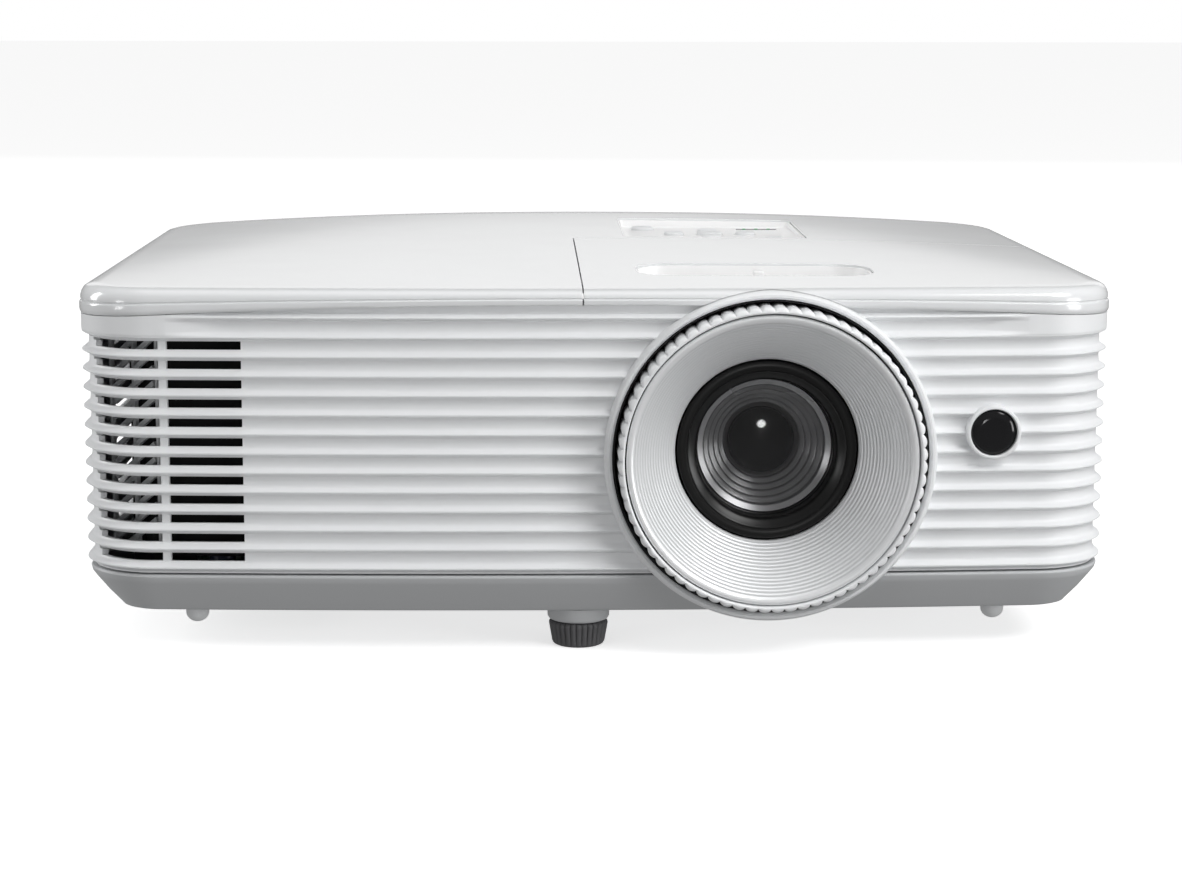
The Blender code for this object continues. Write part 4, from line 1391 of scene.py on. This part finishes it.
cut_away(
    lattice, boxes("t", ((1.0, -5, 31.0), (10.4, 5, 97.0)), ((11.6, -5, 31.0), (21.0, 5, 97.0)))
)
bevel(lattice, 0.15)
lattice.data.transform(turn_to_run)
belongs(lattice, "case", "vent_lattice")
belongs(bars, "case", None)
# Painted shade: a black sheet that darkens the inside of the case seen through the corner vents.
foam_black = finish(
    "foam_black", (0.006, 0.006, 0.006), 0.9, grain=0.8, grain_size=0.0012, mottle=0.3
)
shade_sheet_start = COUNT - next(
    i for i, p in enumerate(half) if abs(p[0] - HALF_WIDTH) < 1e-6 and p[1] > -76.5
)
shade_sheet_end = COUNT - next(i for i, p in enumerate(half) if p[0] > 99.0)
vent_foam = plan_wall(
    "vent_foam",
    shade_sheet_start,
    shade_sheet_end,
    [(-18.0, 28.0), (-18.0, 100.0), (-19.5, 100.0), (-19.5, 28.0)],
    foam_black,
)
belongs(vent_foam, "case", None)

# ---- Feet -------------------------------------------------------------------------------
# Three plated 6 mm studs with a coarse thread screw into the tray, each with a ribbed rubber cap
# to turn it by. The front one comes out of a collar that takes the tray's grey painted shade.

plated = finish(
    "plated", (0.62, 0.62, 0.64), 0.3, metallic=1.0, grain=0.05, grain_size=0.0003, mottle=0.1
)
cap_rubber = finish(
    "cap_rubber", (0.10, 0.10, 0.104), 0.62, grain=0.5, grain_size=0.0004, mottle=0.15
)
THREAD_PITCH = 1.75
for name, (x, y) in FEET.items():
    short = name.replace("_foot", "")
    rows = [(3.0, 8.6 + 0.22 * k) for k in range(int((33.4 - 8.6) / 0.22) + 1)]
    stud = turned(
        f"{name}_screw",
        [(0, 8.0), (2.4, 8.0), *rows, (2.4, 34.0), (0, 34.0)],
        (x, y, 0),
        "Z",
        plated,
        48,
    )
    waved(stud, (x, y, 0), "Z", 2, 0.55, 2.5, 2.95, 0.8, THREAD_PITCH)
    belongs(stud, f"{short}_stud", f"{name}_stud")
    sides = [(8.2 + 1.0 * k / 8, 1.0 + 5.7 * k / 8) for k in range(9)]
    profile = [
        (0, 0.0), (7.2, 0.0), (7.8, 0.3), *sides, (9.1, 7.1), (8.6, 7.6), (8.0, 7.7), (0, 7.7)
    ]
    cap = turned(f"{name}_cap", profile, (x, y, 0), "Z", cap_rubber, 30 * 12)
    waved(cap, (x, y, 0), "Z", 30, 0.7, 7.6, 8.6, 0.5)
    belongs(cap, f"{short}_pad", f"{name}_pad")
x, y = FEET["front_foot"]
collar = turned(
    "collar",
    [(3.6, 8.0), (8.6, 8.0), (9.2, 8.3), (9.6, 9.0), (9.7, 12.4), (3.6, 12.4)],
    (x, y, 0),
    "Z",
    case_plastic,
    96,
)
belongs(collar, "case", "front_foot_collar")

# ---- Bumps ------------------------------------------------------------------------------
# Two small light-grey ABS pegs with round ends, fixed under the front corners. They stop short
# of the surface that the feet stand on.

BUMP_X = 124.0
peg_plastic = finish("peg_plastic", (0.74, 0.75, 0.76), 0.42, grain=0.1, grain_size=0.0004)
for side, sign in (("left", -1), ("right", 1)):
    dome = [
        (3.55 * math.sin(math.radians(a)), 10.2 - 3.0 * math.cos(math.radians(a)))
        for a in range(0, 91, 10)
    ]
    peg = turned(
        f"peg_{side}",
        [*dome, (3.6, 12.0), (3.6, 12.4), (0, 12.4)],
        (sign * BUMP_X, -92.0, 0),
        "Z",
        peg_plastic,
        48,
    )
    belongs(peg, "case", f"bump_{side}")

# ---- Light engine -----------------------------------------------------------------------
# A die-cast magnesium housing holds the light path. The imaging board and its finned heatsink
# stand behind it, and a glass colour wheel spins in front of the lamp.

magnesium = finish(
    "magnesium", (0.36, 0.37, 0.38), 0.5, metallic=0.9, grain=0.6, grain_size=0.0009, mottle=0.12
)
solder_green = finish(
    "solder_green", (0.02, 0.16, 0.07), 0.38, coat=0.3, grain=0.15, grain_size=0.0008, mottle=0.25
)
sink_metal = finish(
    "sink_metal", (0.72, 0.73, 0.74), 0.34, metallic=1.0, grain=0.15, grain_size=0.0006, mottle=0.08
)
dress(magnesium, "engine_housing")
dress(solder_green, "dmd_board")
dress(sink_metal, "dmd_heatsink")
cover_screw = turned(
    "item",
    [(0, 0), (3.4, 0), (3.4, 1.2), (2.9, 1.8), (1.6, 1.8), (1.4, 0.9), (0, 0.9)],
    (0, 0, 0),
    "Z",
    plated,
    32,
)
engine_screws = repeated("engine_screws", cover_screw, 4, plated, (24, -10, 92.1), (18, 14, 0))
belongs(engine_screws, "case", None)
wheel_glass, board, shader = principled("wheel_glass")
parts = board.node("ShaderNodeSeparateXYZ", None, {0: board.add("ShaderNodeTexCoord", output=3)})
angle = (Wire(board, parts.outputs[2]) - 0.052).math(
    "ARCTAN2", Wire(board, parts.outputs[1]) - 0.006
)
WHEEL_COLOURS = (
    (0.0, (0.75, 0.04, 0.03, 1)),
    (0.2, (0.75, 0.62, 0.04, 1)),
    (0.4, (0.05, 0.55, 0.1, 1)),
    (0.6, (0.85, 0.87, 0.88, 1)),
    (0.8, (0.03, 0.08, 0.7, 1)),
)
wheel_ramp = board.node(
    "ShaderNodeValToRGB", {"stops": WHEEL_COLOURS}, {"Fac": angle / (2 * math.pi) + 0.5}
)
wheel_ramp.color_ramp.interpolation = "CONSTANT"
board.set(shader.inputs["Base Color"], Wire(board, wheel_ramp.outputs[0]))
shader.inputs["Roughness"].default_value = 0.08
shader.inputs["Coat Weight"].default_value = 0.8
dress(wheel_glass, "colour_wheel")
dress(plated, "colour_wheel_motor")

# ---- Lamp -------------------------------------------------------------------------------
# A black heat-proof box with a quartz burner and an aluminised reflector that faces the colour
# wheel. It slides in from above, under the lid.

lamp_black = finish(
    "lamp_black", (0.03, 0.03, 0.031), 0.6, grain=0.4, grain_size=0.0007, mottle=0.2
)
mirror = finish("mirror", (0.88, 0.88, 0.9), 0.12, metallic=1.0, mottle=0.03)
dress(lamp_black, "lamp_housing")
dress(mirror, "lamp_reflector")
quartz = finish(
    "quartz", (0.85, 0.86, 0.87), 0.06, mottle=0.03, IOR=1.46, **{"Transmission Weight": 0.8}
)
bulb_profile = [
    (0, 112), (2.2, 113), (2.8, 118), (4.6, 121), (4.6, 125), (2.8, 128), (2.4, 140), (0, 140)
]
bulb = turned("bulb", bulb_profile, (0, -22, 60), "X", quartz, 48, 50.0)
belongs(bulb, "case", None)

# ---- Exhaust fan ------------------------------------------------------------------------
# An 80 mm fan blows out through the left wall's vents: a black frame, and a rotor with seven
# swept blades round its hub.

FAN = (-137.5, -22.0, 58.0)
BLADES = 7
fan_black = finish(
    "fan_black", (0.02, 0.02, 0.021), 0.42, grain=0.15, grain_size=0.0005, mottle=0.15
)
dress(fan_black, "exhaust_fan_frame")
hub = turned(
    "fan_hub",
    [(0, -8.4), (13.0, -8.4), (14.6, -7.0), (15.0, -5.0), (15.0, 8.4), (0, 8.4)],
    (0, 0, 0),
    "X",
    fan_black,
    96,
)
hub.data.transform(Matrix.Translation(Vector(FAN) * MM))
belongs(hub, "exhaust_rotor", "exhaust_fan_rotor")
blade_rings = []
for k in range(9):
    reach = 14.0 + 22.2 * k / 8
    swept = math.radians(22.0 * (k / 8) ** 1.3)
    pitch = math.radians(50.0 - 18.0 * k / 8)
    chord = 15.0 + 3.0 * k / 8
    ring = []
    for across, thick in (
        (-0.5, 0.0), (-0.25, 0.5), (0.05, 0.75), (0.35, 0.5), (0.5, 0.0), (0.3, -0.45), (0.0, -0.6),
        (-0.3, -0.45),
    ):
        lift = across * chord * math.cos(pitch) - thick * math.sin(pitch)
        around = across * chord * math.sin(pitch) + thick * math.cos(pitch)
        angle = swept + around / reach
        ring.append((lift, reach * math.cos(angle), reach * math.sin(angle)))
    blade_rings.append(ring)
blade = skin("item", blade_rings, fan_black)
blades = repeated("fan_blades", blade, BLADES, fan_black, axis="X", turn=360.0 / BLADES)
blades.data.transform(Matrix.Translation(Vector(FAN) * MM))
belongs(blades, "exhaust_rotor", None)

# ---- Boards and speaker -----------------------------------------------------------------
# The mains power board and the main board lie flat in the tray, with capacitors, coils and
# chips on them. A paper-cone speaker faces the left wall.

dress(solder_green, "power_supply_board", "main_board", "keypad_board")
dress(fan_black, "speaker")
sleeve = finish("sleeve", (0.02, 0.03, 0.08), 0.32, coat=0.3, mottle=0.15)
chip_black = finish(
    "chip_black", (0.018, 0.018, 0.019), 0.5, grain=0.3, grain_size=0.0005, mottle=0.15
)
can = turned(
    "item",
    [(0, 0), (4.0, 0), (4.0, 0.8), (3.7, 1.2), (4.0, 1.6), (4.0, 15.4), (3.6, 16.0), (0, 16.0)],
    (0, 0, 0),
    "Z",
    sleeve,
    40,
)
cans = repeated("capacitors", can, 5, sleeve, (-117, -82, 18.7), (10.5, 0, 0))
belongs(cans, "case", None)
chip = bevel(boxes("item", ((-5, -5, 0), (5, 5, 1.6))), 0.2)
chips = repeated("chips", chip, 6, chip_black, (-66, 71, 27.7), (28, 0, 0))
belongs(chips, "case", None)

# ---- Floor ------------------------------------------------------------------------------
# A plain white sweep that the feet rest on. It glows a little, so that it stays white, and
# throws no light upwards.

floor_white = finish(
    "floor_white",
    (0.9, 0.9, 0.9),
    0.9,
    mottle=0.0,
    **{"Emission Color": WHITE, "Emission Strength": 0.62},
)
floor_data = bpy.data.meshes.new("floor")
floor_data.from_pydata([(-9, -6, 0), (9, -6, 0), (9, 14, 0), (-9, 14, 0)], [], [(0, 1, 2, 3)])
floor = bpy.data.objects.new("floor", floor_data)
bpy.context.scene.collection.objects.link(floor)
floor_data.materials.append(floor_white)
floor.visible_diffuse = False
floor.visible_glossy = False
